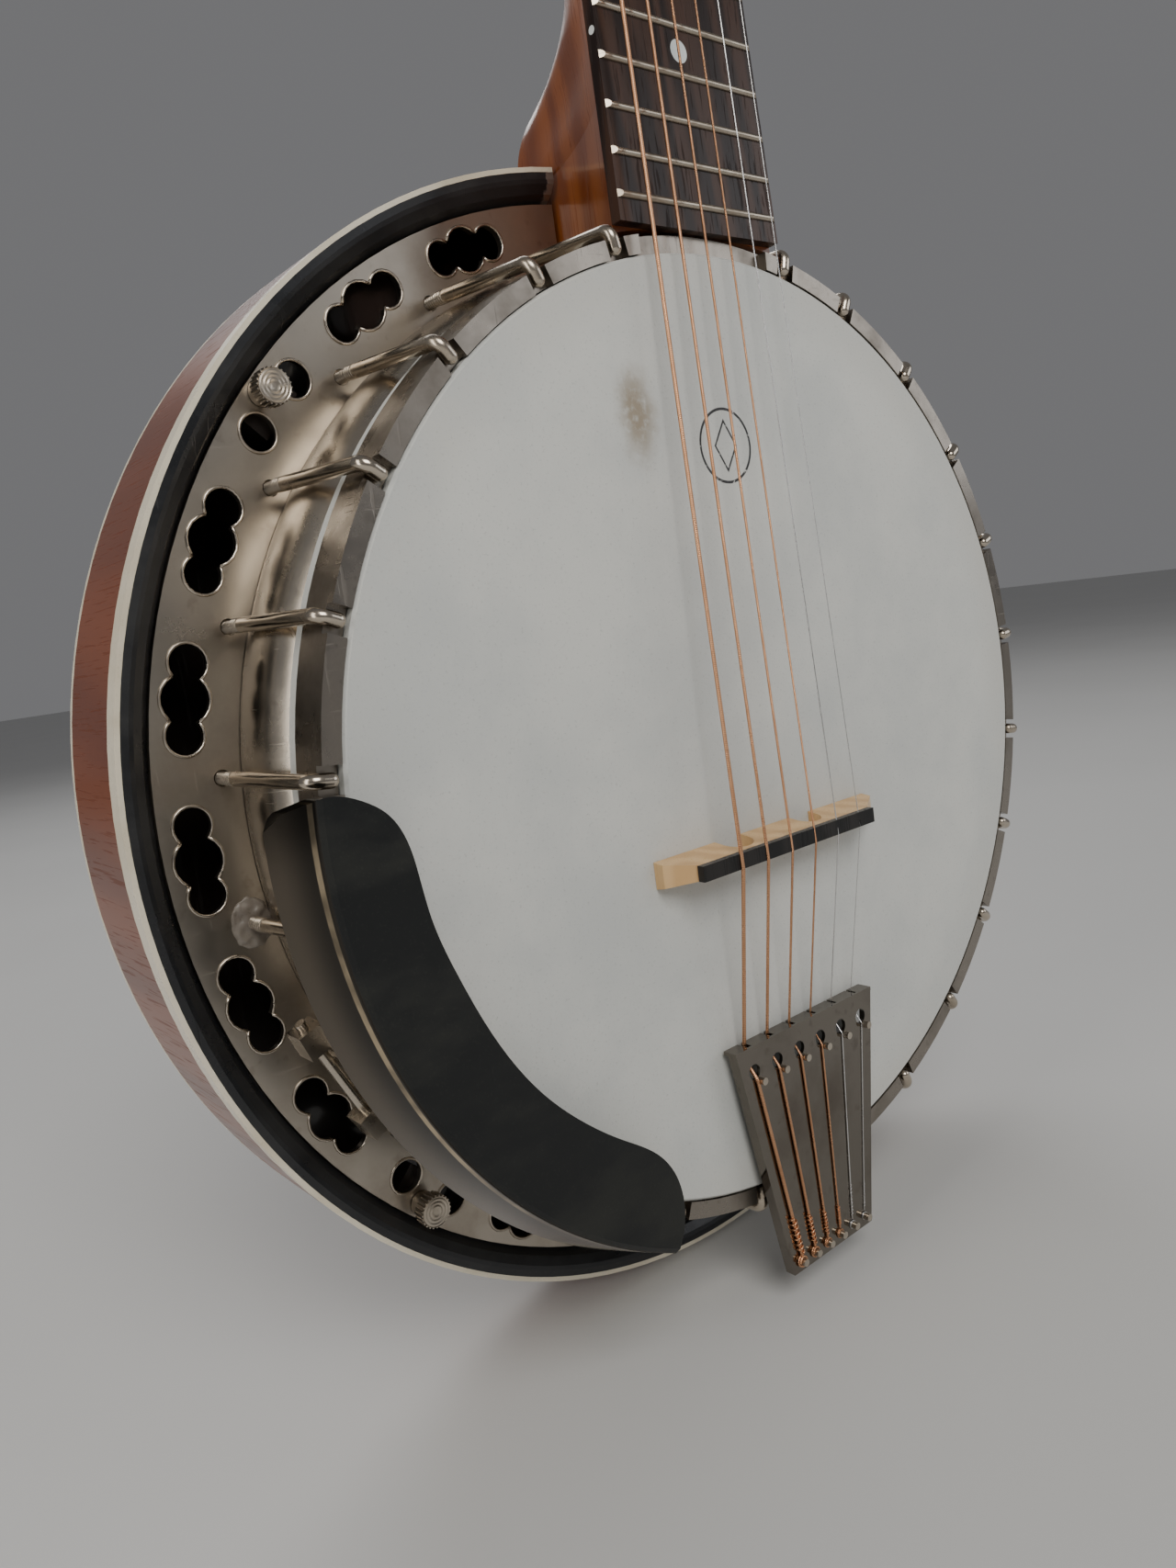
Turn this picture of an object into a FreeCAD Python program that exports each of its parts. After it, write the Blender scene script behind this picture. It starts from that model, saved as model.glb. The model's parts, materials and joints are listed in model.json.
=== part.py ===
import FreeCAD, Part
import math
import os
import re

import Sketcher

# A six-string resonator banjo. All lengths are in millimetres and all angles in degrees.
#
# Axes: +Z points up along the neck, +X to the right seen from the front, +Y to the back.
# The origin is on the pot's axis, at the centre of the flat back face of the resonator.
# Every sub-part is drawn in the head's frame, whose Y = 0 is the playing face of the head,
# and its Placement then carries it forward by pot_depth.

DIMENSIONS = {
    # Pot: radii about the pot's axis, depths behind the head's face.
    "pot_depth": 81.0,
    "head_radius": 140.1,
    "head_film": 0.5,
    "collar_radius": 144.8,
    "collar_front": 14.0,
    "collar_back": 18.2,
    "hoop_inner": 140.4,
    "hoop_outer": 145.5,
    "hoop_front": 0.2,
    "hoop_back": 13.6,
    "notch_width": 7.0,
    "notch_floor": 3.1,
    "rim_inner": 126.0,
    "rim_outer": 139.2,
    "rim_front": 19.6,
    "rim_back": 66.0,
    "tube_radius": 147.2,
    "tube_back": 45.4,
    "tube_round": 28.0,
    "flange_front": 45.74,
    "flange_back": 48.2,
    "flange_radius": 168.3,
    # Bracket hooks and the angles of their shanks, counted each way from the neck.
    "hook_count": 12,
    "hook_circle": 150.6,
    "hook_wire": 3.8,
    "thread_wire": 3.4,
    "hook_lean": 2.8,
    "thread_start": 41.0,
    "hook_end": 60.0,
    "first_hook": 14.0,
    "second_hook": 26.0,
    "hook_spacing": 14.55,
    # Holes of the flange.
    "lobe_circle": 159.6,
    "lobe_middle": 6.5,
    "lobe_side": 5.1,
    "lobe_spread": 3.25,
    "first_lobe": 18.7,
    "upper_screw": 47.9,
    "lower_screw": 135.5,
    "screw_circle": 164.0,
    "screw_shaft": 2.4,
    "screw_knob": 4.8,
    # Resonator.
    "wall_inner": 168.7,
    "wall_outer": 177.6,
    "edge_front": 42.0,
    "wall_front": 47.3,
    "wall_end": 76.4,
    "wall_back": 78.8,
    "binding_width": 1.4,
    "back_binding_width": 2.2,
    "flat_radius": 95.0,
    "heel_gap": 17.5,
    # Neck: its own frame starts at the crown of the last fret and leans back.
    "scale_length": 666.75,
    "fret_count": 22,
    "bridge_place": -34.0,
    "neck_lean": 2.3,
    "neck_start": -0.65,
    "board_half_heel": 32.0,
    "board_half_nut": 21.5,
    "board_thick": 3.6,
    "board_tail": 7.0,
    "fret_crown": 1.0,
    "nut_thick": 3.5,
    "head_lean": 13.0,
    "peghead_length": 168.0,
    "peghead_thick": 14.0,
    "veneer_thick": 1.5,
    # Tuners.
    "tuner_first": 34.0,
    "tuner_pitch": 42.0,
    "tuner_side": 25.0,
    "post_radius": 3.0,
    "post_waist": 2.5,
    "worm_offset": 7.6,
    # Strings, bridge and tailpiece.
    "bridge_height": 12.7,
    "bridge_spread": 11.05,
    "nut_spread": 7.5,
    "plate_spread": 10.35,
    "pin_spread": 6.5,
    "plate_top": -90.0,
    "plate_bottom": -167.5,
    "plate_half_top": 32.8,
    "plate_half_end": 19.7,
    "guide_height": -100.2,
    "pin_height": -164.0,
    "plate_sheet": 1.2,
    # Armrest, about an axis of its own.
    "arm_ridge": 146.0,
    "arm_front": -14.0,
    "arm_flare": 5.0,
    "arm_drop": 17.5,
    "arm_shift": 8.5,
    # Rods through the pot.
    "upper_rod": 30.0,
    "lower_rod": 55.5,
    "rod_radius": 4.8,
    "rod_end": 2.9,
}

STRING_RADII = (0.60, 0.48, 0.38, 0.30, 0.20, 0.15)
DOT_FRETS = (3, 5, 7, 10, 12, 15, 17, 19)

X_AXIS = FreeCAD.Vector(1, 0, 0)
Y_AXIS = FreeCAD.Vector(0, 1, 0)
Z_AXIS = FreeCAD.Vector(0, 0, 1)

doc = FreeCAD.newDocument("banjo")
sheet = doc.addObject("Spreadsheet::Sheet", "dim")
for row, (alias, number) in enumerate(DIMENSIONS.items(), start=1):
    sheet.set("A%d" % row, alias)
    sheet.set("B%d" % row, str(number))
    sheet.setAlias("B%d" % row, alias)
doc.recompute()

sub_parts = []


# ---------------------------------------------------------------- helpers

def vec(x, y, z):
    return FreeCAD.Vector(x, y, z)


def val(expression):
    """The number that an expression in the sheet's aliases stands for."""
    return float(sheet.evalExpression(str(expression)))


def bound(expression):
    """The same expression as another object of the document has to write it."""
    return re.sub(r"\b([a-z]+_[a-z_]+)\b", r"dim.\1", str(expression))


def keep(item):
    """Put a finished sub-part in its place in the pot and list it for writing."""
    moved = vec(0, -val("pot_depth"), 0)
    item.Placement = FreeCAD.Placement(moved, FreeCAD.Rotation()).multiply(item.Placement)
    sub_parts.append(item)
    return item


def feature(label, shape):
    """A sub-part whose shape is made with Part's own functions."""
    item = doc.addObject("Part::Feature", label)
    item.Label = label
    item.Shape = shape
    return keep(item)


def cut(label, base, tool_shape):
    """A sub-part made of a base object less a shape."""
    tool = doc.addObject("Part::Feature", label + "_tool")
    tool.Shape = tool_shape
    item = doc.addObject("Part::Cut", label)
    item.Label = label
    item.Base = base
    item.Tool = tool
    return keep(item)


def new_body(label):
    body = doc.addObject("PartDesign::Body", label)
    body.Label = label
    return body


def new_sketch(body, role, lift="0"):
    """A sketch on one of the body's own planes, lifted along the plane's normal."""
    sketch = body.newObject("Sketcher::SketchObject", body.Name + "_sketch")
    plane = [item for item in body.Origin.OriginFeatures if item.Role == role][0]
    sketch.AttachmentSupport = (plane, [""])
    sketch.MapMode = "FlatFace"
    sketch.setExpression("AttachmentOffset.Base.z", bound(lift))
    return sketch


def pin_point(sketch, index, end, across, up):
    """Fix one end of a sketch element at a place given by two expressions."""
    for kind, expression in (("DistanceX", across), ("DistanceY", up)):
        pinned = sketch.addConstraint(Sketcher.Constraint(kind, -1, 1, index, end, val(expression)))
        sketch.setExpression("Constraints[%d]" % pinned, bound(expression))


def add_outline(sketch, corners):
    """Draw a closed outline, corner by corner and anticlockwise.

    A corner is (across, up), or (across, up, radius) when the stretch that leaves it is an
    outward arc of that radius.
    """
    places = [vec(val(corner[0]), val(corner[1]), 0) for corner in corners]
    for index, corner in enumerate(corners):
        start = places[index]
        finish = places[(index + 1) % len(places)]
        if len(corner) == 2:
            sketch.addGeometry(Part.LineSegment(start, finish))
            continue
        radius = val(corner[2])
        chord = finish - start
        inward = vec(-chord.y, chord.x, 0).normalize()
        centre = (start + finish) / 2 + inward * math.sqrt(radius ** 2 - chord.Length ** 2 / 4)
        circle = Part.Circle(centre, vec(0, 0, 1), radius)
        first = math.atan2(start.y - centre.y, start.x - centre.x)
        last = math.atan2(finish.y - centre.y, finish.x - centre.x)
        sketch.addGeometry(Part.ArcOfCircle(circle, first, last))
        sized = sketch.addConstraint(Sketcher.Constraint("Radius", index, radius))
        sketch.setExpression("Constraints[%d]" % sized, bound(corner[2]))
    for index, corner in enumerate(corners):
        following = (index + 1) % len(corners)
        sketch.addConstraint(Sketcher.Constraint("Coincident", index, 2, following, 1))
        pin_point(sketch, index, 1, corner[0], corner[1])


def add_circles(sketch, circles):
    """Draw circles given as (across, up, radius) expressions."""
    for index, (across, up, radius) in enumerate(circles):
        centre = vec(val(across), val(up), 0)
        sketch.addGeometry(Part.Circle(centre, vec(0, 0, 1), val(radius)))
        pin_point(sketch, index, 3, across, up)
        sized = sketch.addConstraint(Sketcher.Constraint("Radius", index, val(radius)))
        sketch.setExpression("Constraints[%d]" % sized, bound(radius))


def ring_body(label, corners):
    """A body turned about the pot's axis from (radius, depth) corners."""
    body = new_body(label)
    sketch = new_sketch(body, "XY_Plane")
    add_outline(sketch, corners)
    turned = body.newObject("PartDesign::Revolution", label + "_turn")
    turned.Profile = sketch
    turned.ReferenceAxis = (sketch, ["V_Axis"])
    turned.Angle = 360
    return body


def drill(body, circles):
    """Round holes right through a body along Y, from (x, z, radius) expressions."""
    sketch = new_sketch(body, "XZ_Plane")
    add_circles(sketch, circles)
    pocket = body.newObject("PartDesign::Pocket", body.Name + "_holes")
    pocket.Profile = sketch
    pocket.Type = 1
    pocket.Midplane = True


def polar(radius, angle, depth=0.0):
    """A point at a radius and an angle from the neck, positive towards +X."""
    turn = math.radians(angle)
    return vec(radius * math.sin(turn), depth, radius * math.cos(turn))


def turned_to(shape, angle):
    """A copy of a shape drawn at the neck, carried round the pot to an angle."""
    copy = shape.copy()
    copy.rotate(vec(0, 0, 0), Y_AXIS, angle)
    return copy


def around(shape, angles):
    return Part.makeCompound([turned_to(shape, angle) for angle in angles])


def box(low, high):
    size = high - low
    return Part.makeBox(size.x, size.y, size.z, low)


def rod(radius, start, finish):
    along = finish - start
    return Part.makeCylinder(radius, along.Length, start, along)


def hexagon(across_flats, start, finish):
    """A six-sided bar from one point to another."""
    along = finish - start
    side = vec(1, 0, 0) if abs(along.x) < 0.5 * along.Length else vec(0, 1, 0)
    other = along.cross(side).normalize()
    corner = across_flats / math.sqrt(3)
    points = []
    for step in range(7):
        turn = math.radians(60 * step)
        points.append(start + side * corner * math.cos(turn) + other * corner * math.sin(turn))
    return Part.Face(Part.makePolygon(points)).extrude(along)


def rounded_wire(points, radii):
    """Straight runs joined by tangent arcs; radii has one number per inner point."""
    edges = []
    last = points[0]
    for index in range(1, len(points) - 1):
        before = (points[index - 1] - points[index]).normalize()
        after = (points[index + 1] - points[index]).normalize()
        half = before.getAngle(after) / 2
        radius = radii[index - 1]
        reach = radius / math.tan(half)
        enter = points[index] + before * reach
        leave = points[index] + after * reach
        middle = (before + after).normalize()
        crown = points[index] + middle * (radius / math.sin(half) - radius)
        edges.append(Part.LineSegment(last, enter).toShape())
        edges.append(Part.Arc(enter, crown, leave).toShape())
        last = leave
    edges.append(Part.LineSegment(last, points[-1]).toShape())
    return Part.Wire(edges)


def wire_rod(points, radii, radius):
    """A round wire that follows straight runs and tangent arcs."""
    spine = rounded_wire(points, radii)
    start = points[0]
    circle = Part.Circle(start, points[1] - start, radius)
    profile = Part.Wire([circle.toShape()])
    return spine.makePipeShell([profile], True, False)


def hook_angles():
    """Angles of all the bracket hooks: twelve on each side of the neck."""
    right = [val("first_hook")]
    right += [val("second_hook + %d * hook_spacing" % step) for step in range(int(val("hook_count")) - 1)]
    return right + [-angle for angle in right]


def neck_placement():
    """From the neck's own frame to the head's frame."""
    start = vec(0, val("neck_start"), fret_height(val("fret_count")))
    return FreeCAD.Placement(start, FreeCAD.Rotation(X_AXIS, -val("neck_lean")))


def peghead_placement():
    """From the peghead's frame, on its front face at the nut, to the head's frame."""
    nut_back = vec(0, val("fret_crown + board_thick + 0.4"), nut_place() + val("nut_thick"))
    local = FreeCAD.Placement(nut_back, FreeCAD.Rotation(X_AXIS, -val("head_lean")))
    return neck_placement().multiply(local)


def placed(shape, placement):
    copy = shape.copy()
    copy.Placement = placement.multiply(copy.Placement)
    return copy


def fret_height(number):
    """Height above the pot's axis of a fret, from the rule of the twelfth root of two."""
    return val("bridge_place") + val("scale_length") * 2 ** (-number / 12)


def fret_place(number):
    """Distance of a fret from the last one, along the neck."""
    return fret_height(number) - fret_height(val("fret_count"))


def nut_place():
    return fret_place(0)


def board_half(along):
    """Half width of the fingerboard at a distance from the last fret."""
    share = along / nut_place()
    return val("board_half_heel") + (val("board_half_nut") - val("board_half_heel")) * share


# ---------------------------------------------------------------- pot

def make_head():
    """Frosted film: a flat disc, and the collar moulded round its edge down to the hoop."""
    disc = [
        ("0", "0"),
        ("head_radius - 0.8", "0"),
        ("head_radius", "0.8"),
        ("head_radius", "1.1"),
        ("head_radius - head_film", "1.1"),
        ("head_radius - 1.1", "head_film"),
        ("0", "head_film"),
    ]
    keep(ring_body("head", disc))
    collar = [
        ("head_radius - head_film", "1.1"),
        ("head_radius", "1.1"),
        ("head_radius", "collar_front"),
        ("collar_radius", "collar_front"),
        ("collar_radius", "collar_back"),
        ("collar_radius - head_film", "collar_back"),
        ("collar_radius - head_film", "collar_front + head_film"),
        ("head_radius - head_film", "collar_front + head_film"),
    ]
    keep(ring_body("head_collar", collar))


def make_flesh_ring():
    """Metal ring inside the collar that holds the edge of the film."""
    corners = [
        ("head_radius - head_film + 0.1", "collar_front + head_film"),
        ("collar_radius - head_film", "collar_front + head_film"),
        ("collar_radius - head_film", "collar_back"),
        ("head_radius - head_film + 0.1", "collar_back"),
    ]
    keep(ring_body("flesh_ring", corners))


def make_hoop():
    """Flat hoop that pulls the head down, notched for every hook and for the neck."""
    corners = [
        ("hoop_inner", "hoop_front"),
        ("hoop_outer", "hoop_front"),
        ("hoop_outer", "hoop_back"),
        ("hoop_inner", "hoop_back"),
    ]
    hoop = ring_body("hoop_ring", corners)
    half = val("notch_width") / 2
    floor = val("notch_floor")
    outside = val("hoop_outer") + 5
    notch = box(vec(-half, -1, val("hoop_inner") - 5), vec(half, floor, outside))
    neck_notch = box(vec(-26, -1, val("hoop_inner") - 20), vec(26, floor, outside))
    cut("tension_hoop", hoop, around(notch, hook_angles()).fuse(neck_notch))


def hook_shape():
    """One hook at the neck's angle: threaded end, leaning shank, bend and round tip."""
    wire = val("hook_wire") / 2
    circle = val("hook_circle")
    crest = val("notch_floor") - 0.1 - wire
    foot = vec(0, val("thread_start"), circle)
    bend = vec(0, crest, circle - val("hook_lean"))
    tip = vec(0, crest, val("hoop_inner") + 0.8 + wire)
    bent = wire_rod([foot, bend, tip], [2.6], wire)
    end = Part.makeSphere(wire, tip)
    thread = rod(val("thread_wire") / 2, foot - Y_AXIS * 0.5, vec(0, val("hook_end"), circle))
    return bent.fuse([end, thread]).removeSplitter()


def make_hooks():
    feature("bracket_hooks", around(hook_shape(), hook_angles()))


def make_hook_nuts():
    """Hexagon nuts behind the flange, each with a bore over the hook's thread."""
    circle = val("hook_circle")
    start = vec(0, val("flange_back"), circle)
    finish = start + Y_AXIS * 7.0
    bore = rod(val("thread_wire") / 2 + 0.05, start - Y_AXIS, finish + Y_AXIS)
    nut = hexagon(7.2, start, finish).cut(bore)
    feature("bracket_nuts", around(nut, hook_angles()))


def make_tone_ring():
    """Cast ring that carries the head: outer bearing edge, skirt and inner shelf."""
    corners = [
        ("head_radius - head_film - 0.7", "head_film + 0.6"),
        ("head_radius - head_film - 0.1", "head_film + 1.2"),
        ("head_radius - head_film - 0.1", "rim_front"),
        ("rim_outer - 4.6", "rim_front"),
        ("rim_outer - 4.6", "9"),
        ("rim_inner", "9"),
        ("rim_inner", "6"),
        ("rim_outer - 6", "4"),
        ("rim_outer - 2", "head_film + 0.1"),
    ]
    keep(ring_body("tone_ring", corners))


def rod_tools(extra, low, high):
    """Bars along Z where the two rods pass, each `extra` wider than the rod's end."""
    radius = val("rod_end") + extra
    bars = []
    for depth in (val("upper_rod"), val("lower_rod")):
        bars.append(rod(radius, vec(0, depth, low), vec(0, depth, high)))
    return Part.makeCompound(bars)


def make_rim():
    """Laminated wooden rim, drilled at the neck and at the tail for the rods."""
    corners = [
        ("rim_inner", "rim_front"),
        ("rim_outer", "rim_front"),
        ("rim_outer", "rim_back - 2"),
        ("rim_outer - 2", "rim_back"),
        ("rim_inner + 2", "rim_back"),
        ("rim_inner", "rim_back - 2"),
    ]
    cut("rim_shell", ring_body("rim_ring", corners), rod_tools(0.2, -180, 180))


def make_tube():
    """Rounded metal tube that fills the corner between the head's collar and the flange."""
    corners = [
        ("rim_outer + 0.1", "rim_front"),
        ("142", "rim_front", "tube_round"),
        ("tube_radius - 1.6", "tube_back"),
        ("rim_outer + 0.1", "tube_back"),
    ]
    cut("rim_tube", ring_body("tube_ring", corners), rod_tools(0.2, -180, 180))


def lobe_angles():
    """Midway between neighbouring hooks, but not where a thumbscrew is."""
    right = [val("first_lobe")]
    spacing = val("hook_spacing")
    for step in range(int(val("hook_count")) - 2):
        right.append(val("second_hook") + spacing * (step + 0.5))
    taken = (val("upper_screw"), val("lower_screw"))
    right = [angle for angle in right if min(abs(angle - used) for used in taken) > 3]
    return right + [-angle for angle in right]


def screw_angles():
    upper = val("upper_screw")
    lower = val("lower_screw")
    return [-upper, upper, lower, -lower]


def circle_at(radius, angle, size):
    """A hole as (x, z, radius) expressions, at a radius and an angle from the neck."""
    return ("%s * sin(%.2f)" % (radius, angle), "%s * cos(%.2f)" % (radius, angle), size)


def make_flange():
    """Flat ring with a hook hole, three-lobed sound holes and screw sites, open for the heel."""
    corners = [
        ("rim_outer + 0.1", "flange_front"),
        ("flange_radius", "flange_front"),
        ("flange_radius", "flange_back"),
        ("rim_outer + 0.1", "flange_back"),
    ]
    ring = ring_body("flange_ring", corners)
    spread = val("lobe_spread")
    middles = [circle_at("hook_circle", angle, "thread_wire / 2 + 0.5") for angle in hook_angles()]
    middles += [circle_at("lobe_circle", angle, "lobe_middle") for angle in lobe_angles()]
    middles += [circle_at("screw_circle", angle, "screw_shaft + 0.6") for angle in screw_angles()]
    middles += [circle_at("screw_circle - 8", angle, "2.2") for angle in screw_angles()]
    drill(ring, middles)
    for side in (-spread, spread):
        drill(ring, [circle_at("lobe_circle", angle + side, "lobe_side") for angle in lobe_angles() + screw_angles()])
    doc.recompute()
    heel = val("heel_gap") - 1.2
    opening = box(vec(-heel, 40, val("tube_radius") - 2), vec(heel, 55, 180))
    cut("flange", ring, opening)


def make_rods():
    """Two rods across the pot; their thin ends pass through the rim."""
    reach = val("rim_inner") - 6
    shapes = []
    for depth, tail in ((val("upper_rod"), -158.5), (val("lower_rod"), -147.0)):
        body = rod(val("rod_radius"), vec(0, depth, -reach), vec(0, depth, reach))
        thin = rod(val("rod_end"), vec(0, depth, tail), vec(0, depth, 168))
        shapes.append(body.fuse(thin).removeSplitter())
    feature("coordinator_rods", Part.makeCompound(shapes))


def make_rod_nuts():
    """Nuts on the thin ends of the rods: inside the rim, and at the tail outside it."""
    shapes = []
    inner = val("rim_inner")
    spans = (
        ("upper_rod", -157.0, -152.6),
        ("upper_rod", -inner + 0.6, -inner + 5.0),
        ("upper_rod", inner - 5.0, inner - 0.6),
        ("lower_rod", -145.2, -140.8),
        ("lower_rod", -inner + 0.6, -inner + 5.0),
        ("lower_rod", inner - 5.0, inner - 0.6),
    )
    for alias, low, high in spans:
        depth = val(alias)
        bore = rod(val("rod_end") + 0.05, vec(0, depth, low - 1), vec(0, depth, high + 1))
        shapes.append(hexagon(11.0, vec(0, depth, low), vec(0, depth, high)).cut(bore))
    feature("rod_nuts", Part.makeCompound(shapes))


# ---------------------------------------------------------------- resonator

def heel_opening(half):
    """The gap that the heel needs, cut from the front edge of the resonator."""
    return box(vec(-half, 30, 140), vec(half, 68, 200))


def make_resonator():
    """Wooden wall, rounded black front edge, two bindings and the slightly raised back."""
    half = val("heel_gap")
    binding = "wall_outer - binding_width"
    wall = [
        ("wall_inner", "wall_front"),
        ("wall_outer", "wall_front"),
        ("wall_outer", "wall_end"),
        ("wall_inner", "wall_end"),
    ]
    cut("resonator_side", ring_body("wall_ring", wall), heel_opening(half))
    trim = [
        ("wall_inner", "wall_front - 0.7"),
        ("wall_inner + 1.8", "edge_front + 2"),
        ("wall_inner + 4.3", "edge_front + 0.4"),
        ("wall_inner + 5.5", "edge_front"),
        (binding, "edge_front"),
        (binding, "wall_front"),
        ("wall_inner", "wall_front"),
    ]
    cut("front_trim", ring_body("trim_ring", trim), heel_opening(half))
    front = [
        (binding, "edge_front"),
        ("wall_outer", "edge_front"),
        ("wall_outer", "wall_front"),
        (binding, "wall_front"),
    ]
    cut("front_binding", ring_body("front_ring", front), heel_opening(half))
    back_edge = [
        ("wall_outer - back_binding_width", "wall_end"),
        ("wall_outer", "wall_end"),
        ("wall_outer", "wall_back - 0.8"),
        ("wall_outer - 0.8", "wall_back"),
        ("wall_outer - back_binding_width", "wall_back"),
    ]
    keep(ring_body("back_binding", back_edge))
    back = [
        ("0", "wall_end"),
        ("wall_outer - back_binding_width", "wall_end"),
        ("wall_outer - back_binding_width", "wall_back"),
        ("flat_radius", "pot_depth"),
        ("0", "pot_depth"),
    ]
    keep(ring_body("resonator_back", back))


def make_lugs():
    """Blocks inside the wall that carry the flange and take the thumbscrews."""
    front = val("flange_back")
    block = box(vec(-8, front, 155), vec(8, front + 14, val("wall_inner") + 2))
    inside = rod(val("wall_inner") - 0.1, vec(0, front - 5, 0), vec(0, front + 20, 0))
    circle = val("screw_circle")
    bore = rod(val("screw_shaft") + 0.05, vec(0, front - 1, circle), vec(0, front + 12, circle))
    lug = block.common(inside).cut(bore)
    hook_room = rod(val("hook_circle") + 5.5, vec(0, front - 5, 0), vec(0, front + 20, 0))
    feature("resonator_lugs", around(lug.cut(hook_room), screw_angles()))


def thumbscrew_shape():
    """Ribbed knob, collar and shaft, drawn at the neck's angle."""
    circle = val("screw_circle")
    knob_front = 37.5
    knob_back = 41.5
    knob = rod(val("screw_knob"), vec(0, knob_front, circle), vec(0, knob_back, circle))
    groove = rod(0.45, vec(0, knob_front - 1, circle + val("screw_knob")),
                 vec(0, knob_back + 1, circle + val("screw_knob")))
    for step in range(24):
        rib = groove.copy()
        rib.rotate(vec(0, 0, circle), Y_AXIS, 15 * step)
        knob = knob.cut(rib)
    collar = rod(3.6, vec(0, knob_back - 0.5, circle), vec(0, val("flange_front") - 0.3, circle))
    shaft = rod(val("screw_shaft"), vec(0, knob_back, circle), vec(0, val("flange_back") + 10, circle))
    return knob.fuse([collar, shaft]).removeSplitter()


def make_thumbscrews():
    shape = thumbscrew_shape()
    for number, angle in enumerate(screw_angles(), start=1):
        feature("thumbscrew_%d" % number, turned_to(shape, angle))


# ---------------------------------------------------------------- neck

def neck_section(along, half, side_depth, depth, foot):
    """A closed section across the neck: flat front, curved flanks and a flat foot."""
    front = val("fret_crown + board_thick")
    left = vec(-half, front, along)
    right = vec(half, front, along)
    left_foot = vec(-foot, depth, along)
    right_foot = vec(foot, depth, along)
    right_belly = vec(foot + (half - foot) * side_depth, front + (depth - front) * 0.62, along)
    left_belly = vec(-right_belly.x, right_belly.y, along)
    edges = [
        Part.LineSegment(left, right).toShape(),
        Part.Arc(right, right_belly, right_foot).toShape(),
        Part.LineSegment(right_foot, left_foot).toShape(),
        Part.Arc(left_foot, left_belly, left).toShape(),
    ]
    return Part.Wire(edges)


def peghead_outline(depth):
    """Outline of the peghead in its own frame: narrow at the nut, wider at the tuners."""
    length = val("peghead_length")
    right = [
        vec(board_half(nut_place()) + 0.3, depth, 0),
        vec(22.5, depth, 9),
        vec(36.0, depth, 24),
        vec(39.0, depth, 34),
        vec(36.5, depth, 80),
        vec(34.5, depth, 126),
        vec(37.5, depth, 146),
        vec(31.0, depth, 158),
        vec(17.0, depth, 162),
        vec(0, depth, length),
    ]
    left = [vec(-point.x, point.y, point.z) for point in reversed(right[:-1])]
    curve = Part.BSplineCurve()
    curve.interpolate(right + left)
    return Part.Wire([curve.toShape(), Part.LineSegment(left[-1], right[0]).toShape()])


def slab(front, thickness):
    return Part.Face(peghead_outline(front)).extrude(Y_AXIS * thickness)


def tuner_sites():
    """Posts as (x, z, side) in the peghead's frame, in string order from the bass side."""
    first = val("tuner_first")
    pitch = val("tuner_pitch")
    side = val("tuner_side")
    left = [(-side, first + pitch * step, -1) for step in range(3)]
    right = [(side, first + pitch * step, 1) for step in (2, 1, 0)]
    return left + right


def bushing_bores(radius):
    bars = [rod(radius, vec(x, -5, z), vec(x, 30, z)) for x, z, side in tuner_sites()]
    return Part.makeCompound(bars)


def make_neck():
    """Neck, heel and peghead as one piece of wood, fitted to the pot."""
    nut = nut_place()
    back_at_nut = 20.0
    back_at_heel = 22.5
    foot_depth = 65.0
    stations = [
        (nut + 4, board_half(nut) + 0.2, 0.85, back_at_nut, 6),
        (nut / 2, board_half(nut / 2), 0.85, 21.5, 6.5),
        (95, board_half(95), 0.85, back_at_heel, 7),
        (76, board_half(76), 0.82, 22.5, 8),
        (64, board_half(64), 0.76, 24.0, 9.5),
        (56, board_half(56), 0.62, 30.5, 11),
        (49, board_half(49), 0.46, 46, 12),
        (43, board_half(43), 0.31, 58.5, 12),
        (36, board_half(36), 0.23, 63.8, 12),
        (24, board_half(24), 0.20, foot_depth - 0.4, 12),
        (6, board_half(6), 0.20, foot_depth, 12),
        (-16, board_half(-16), 0.20, foot_depth + 0.4, 12),
    ]
    sections = [neck_section(*station) for station in stations]
    shaft = Part.makeLoft(sections[:3], True, False)
    flare = Part.makeLoft(sections[2:10], True, False)
    heel = Part.makeLoft(sections[9:], True, True)
    neck = placed(shaft.fuse([flare, heel]), neck_placement())
    peghead = placed(slab(val("veneer_thick"), val("peghead_thick")), peghead_placement())
    neck = neck.fuse(peghead)
    pot = rod(val("tube_radius") + 0.3, vec(0, -30, 0), vec(0, 100, 0))
    veneer = placed(slab(0, val("veneer_thick")), peghead_placement())
    bores = placed(bushing_bores(4.4), peghead_placement())
    neck = neck.cut([pot, rod_tools(0.05, 120, 168.5), veneer, bores])
    neck = neck.cut(placed(nut_block(), neck_placement())).removeSplitter()
    feature("neck", neck)
    return neck


def make_heel_cap(neck):
    """Thin plastic plate that covers the foot of the heel."""
    wide = 11.9
    narrow = 11.7
    low_end = -16.0
    high_end = 30.0
    inside = 61.0
    front = [vec(-wide, inside, low_end), vec(wide, inside, low_end), vec(narrow, inside, high_end),
             vec(-narrow, inside, high_end)]
    back = [vec(-wide, 67.4, low_end), vec(wide, 67.4, low_end), vec(narrow, 65.8, high_end),
            vec(-narrow, 65.8, high_end)]
    low = Part.makePolygon(front + front[:1])
    high = Part.makePolygon(back + back[:1])
    foot = placed(Part.makeLoft([low, high], True, True), neck_placement())
    pot = rod(val("tube_radius") + 0.3, vec(0, -30, 0), vec(0, 100, 0))
    solids = foot.cut([pot, neck]).Solids
    feature("heel_cap", max(solids, key=lambda solid: solid.Volume))


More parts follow.
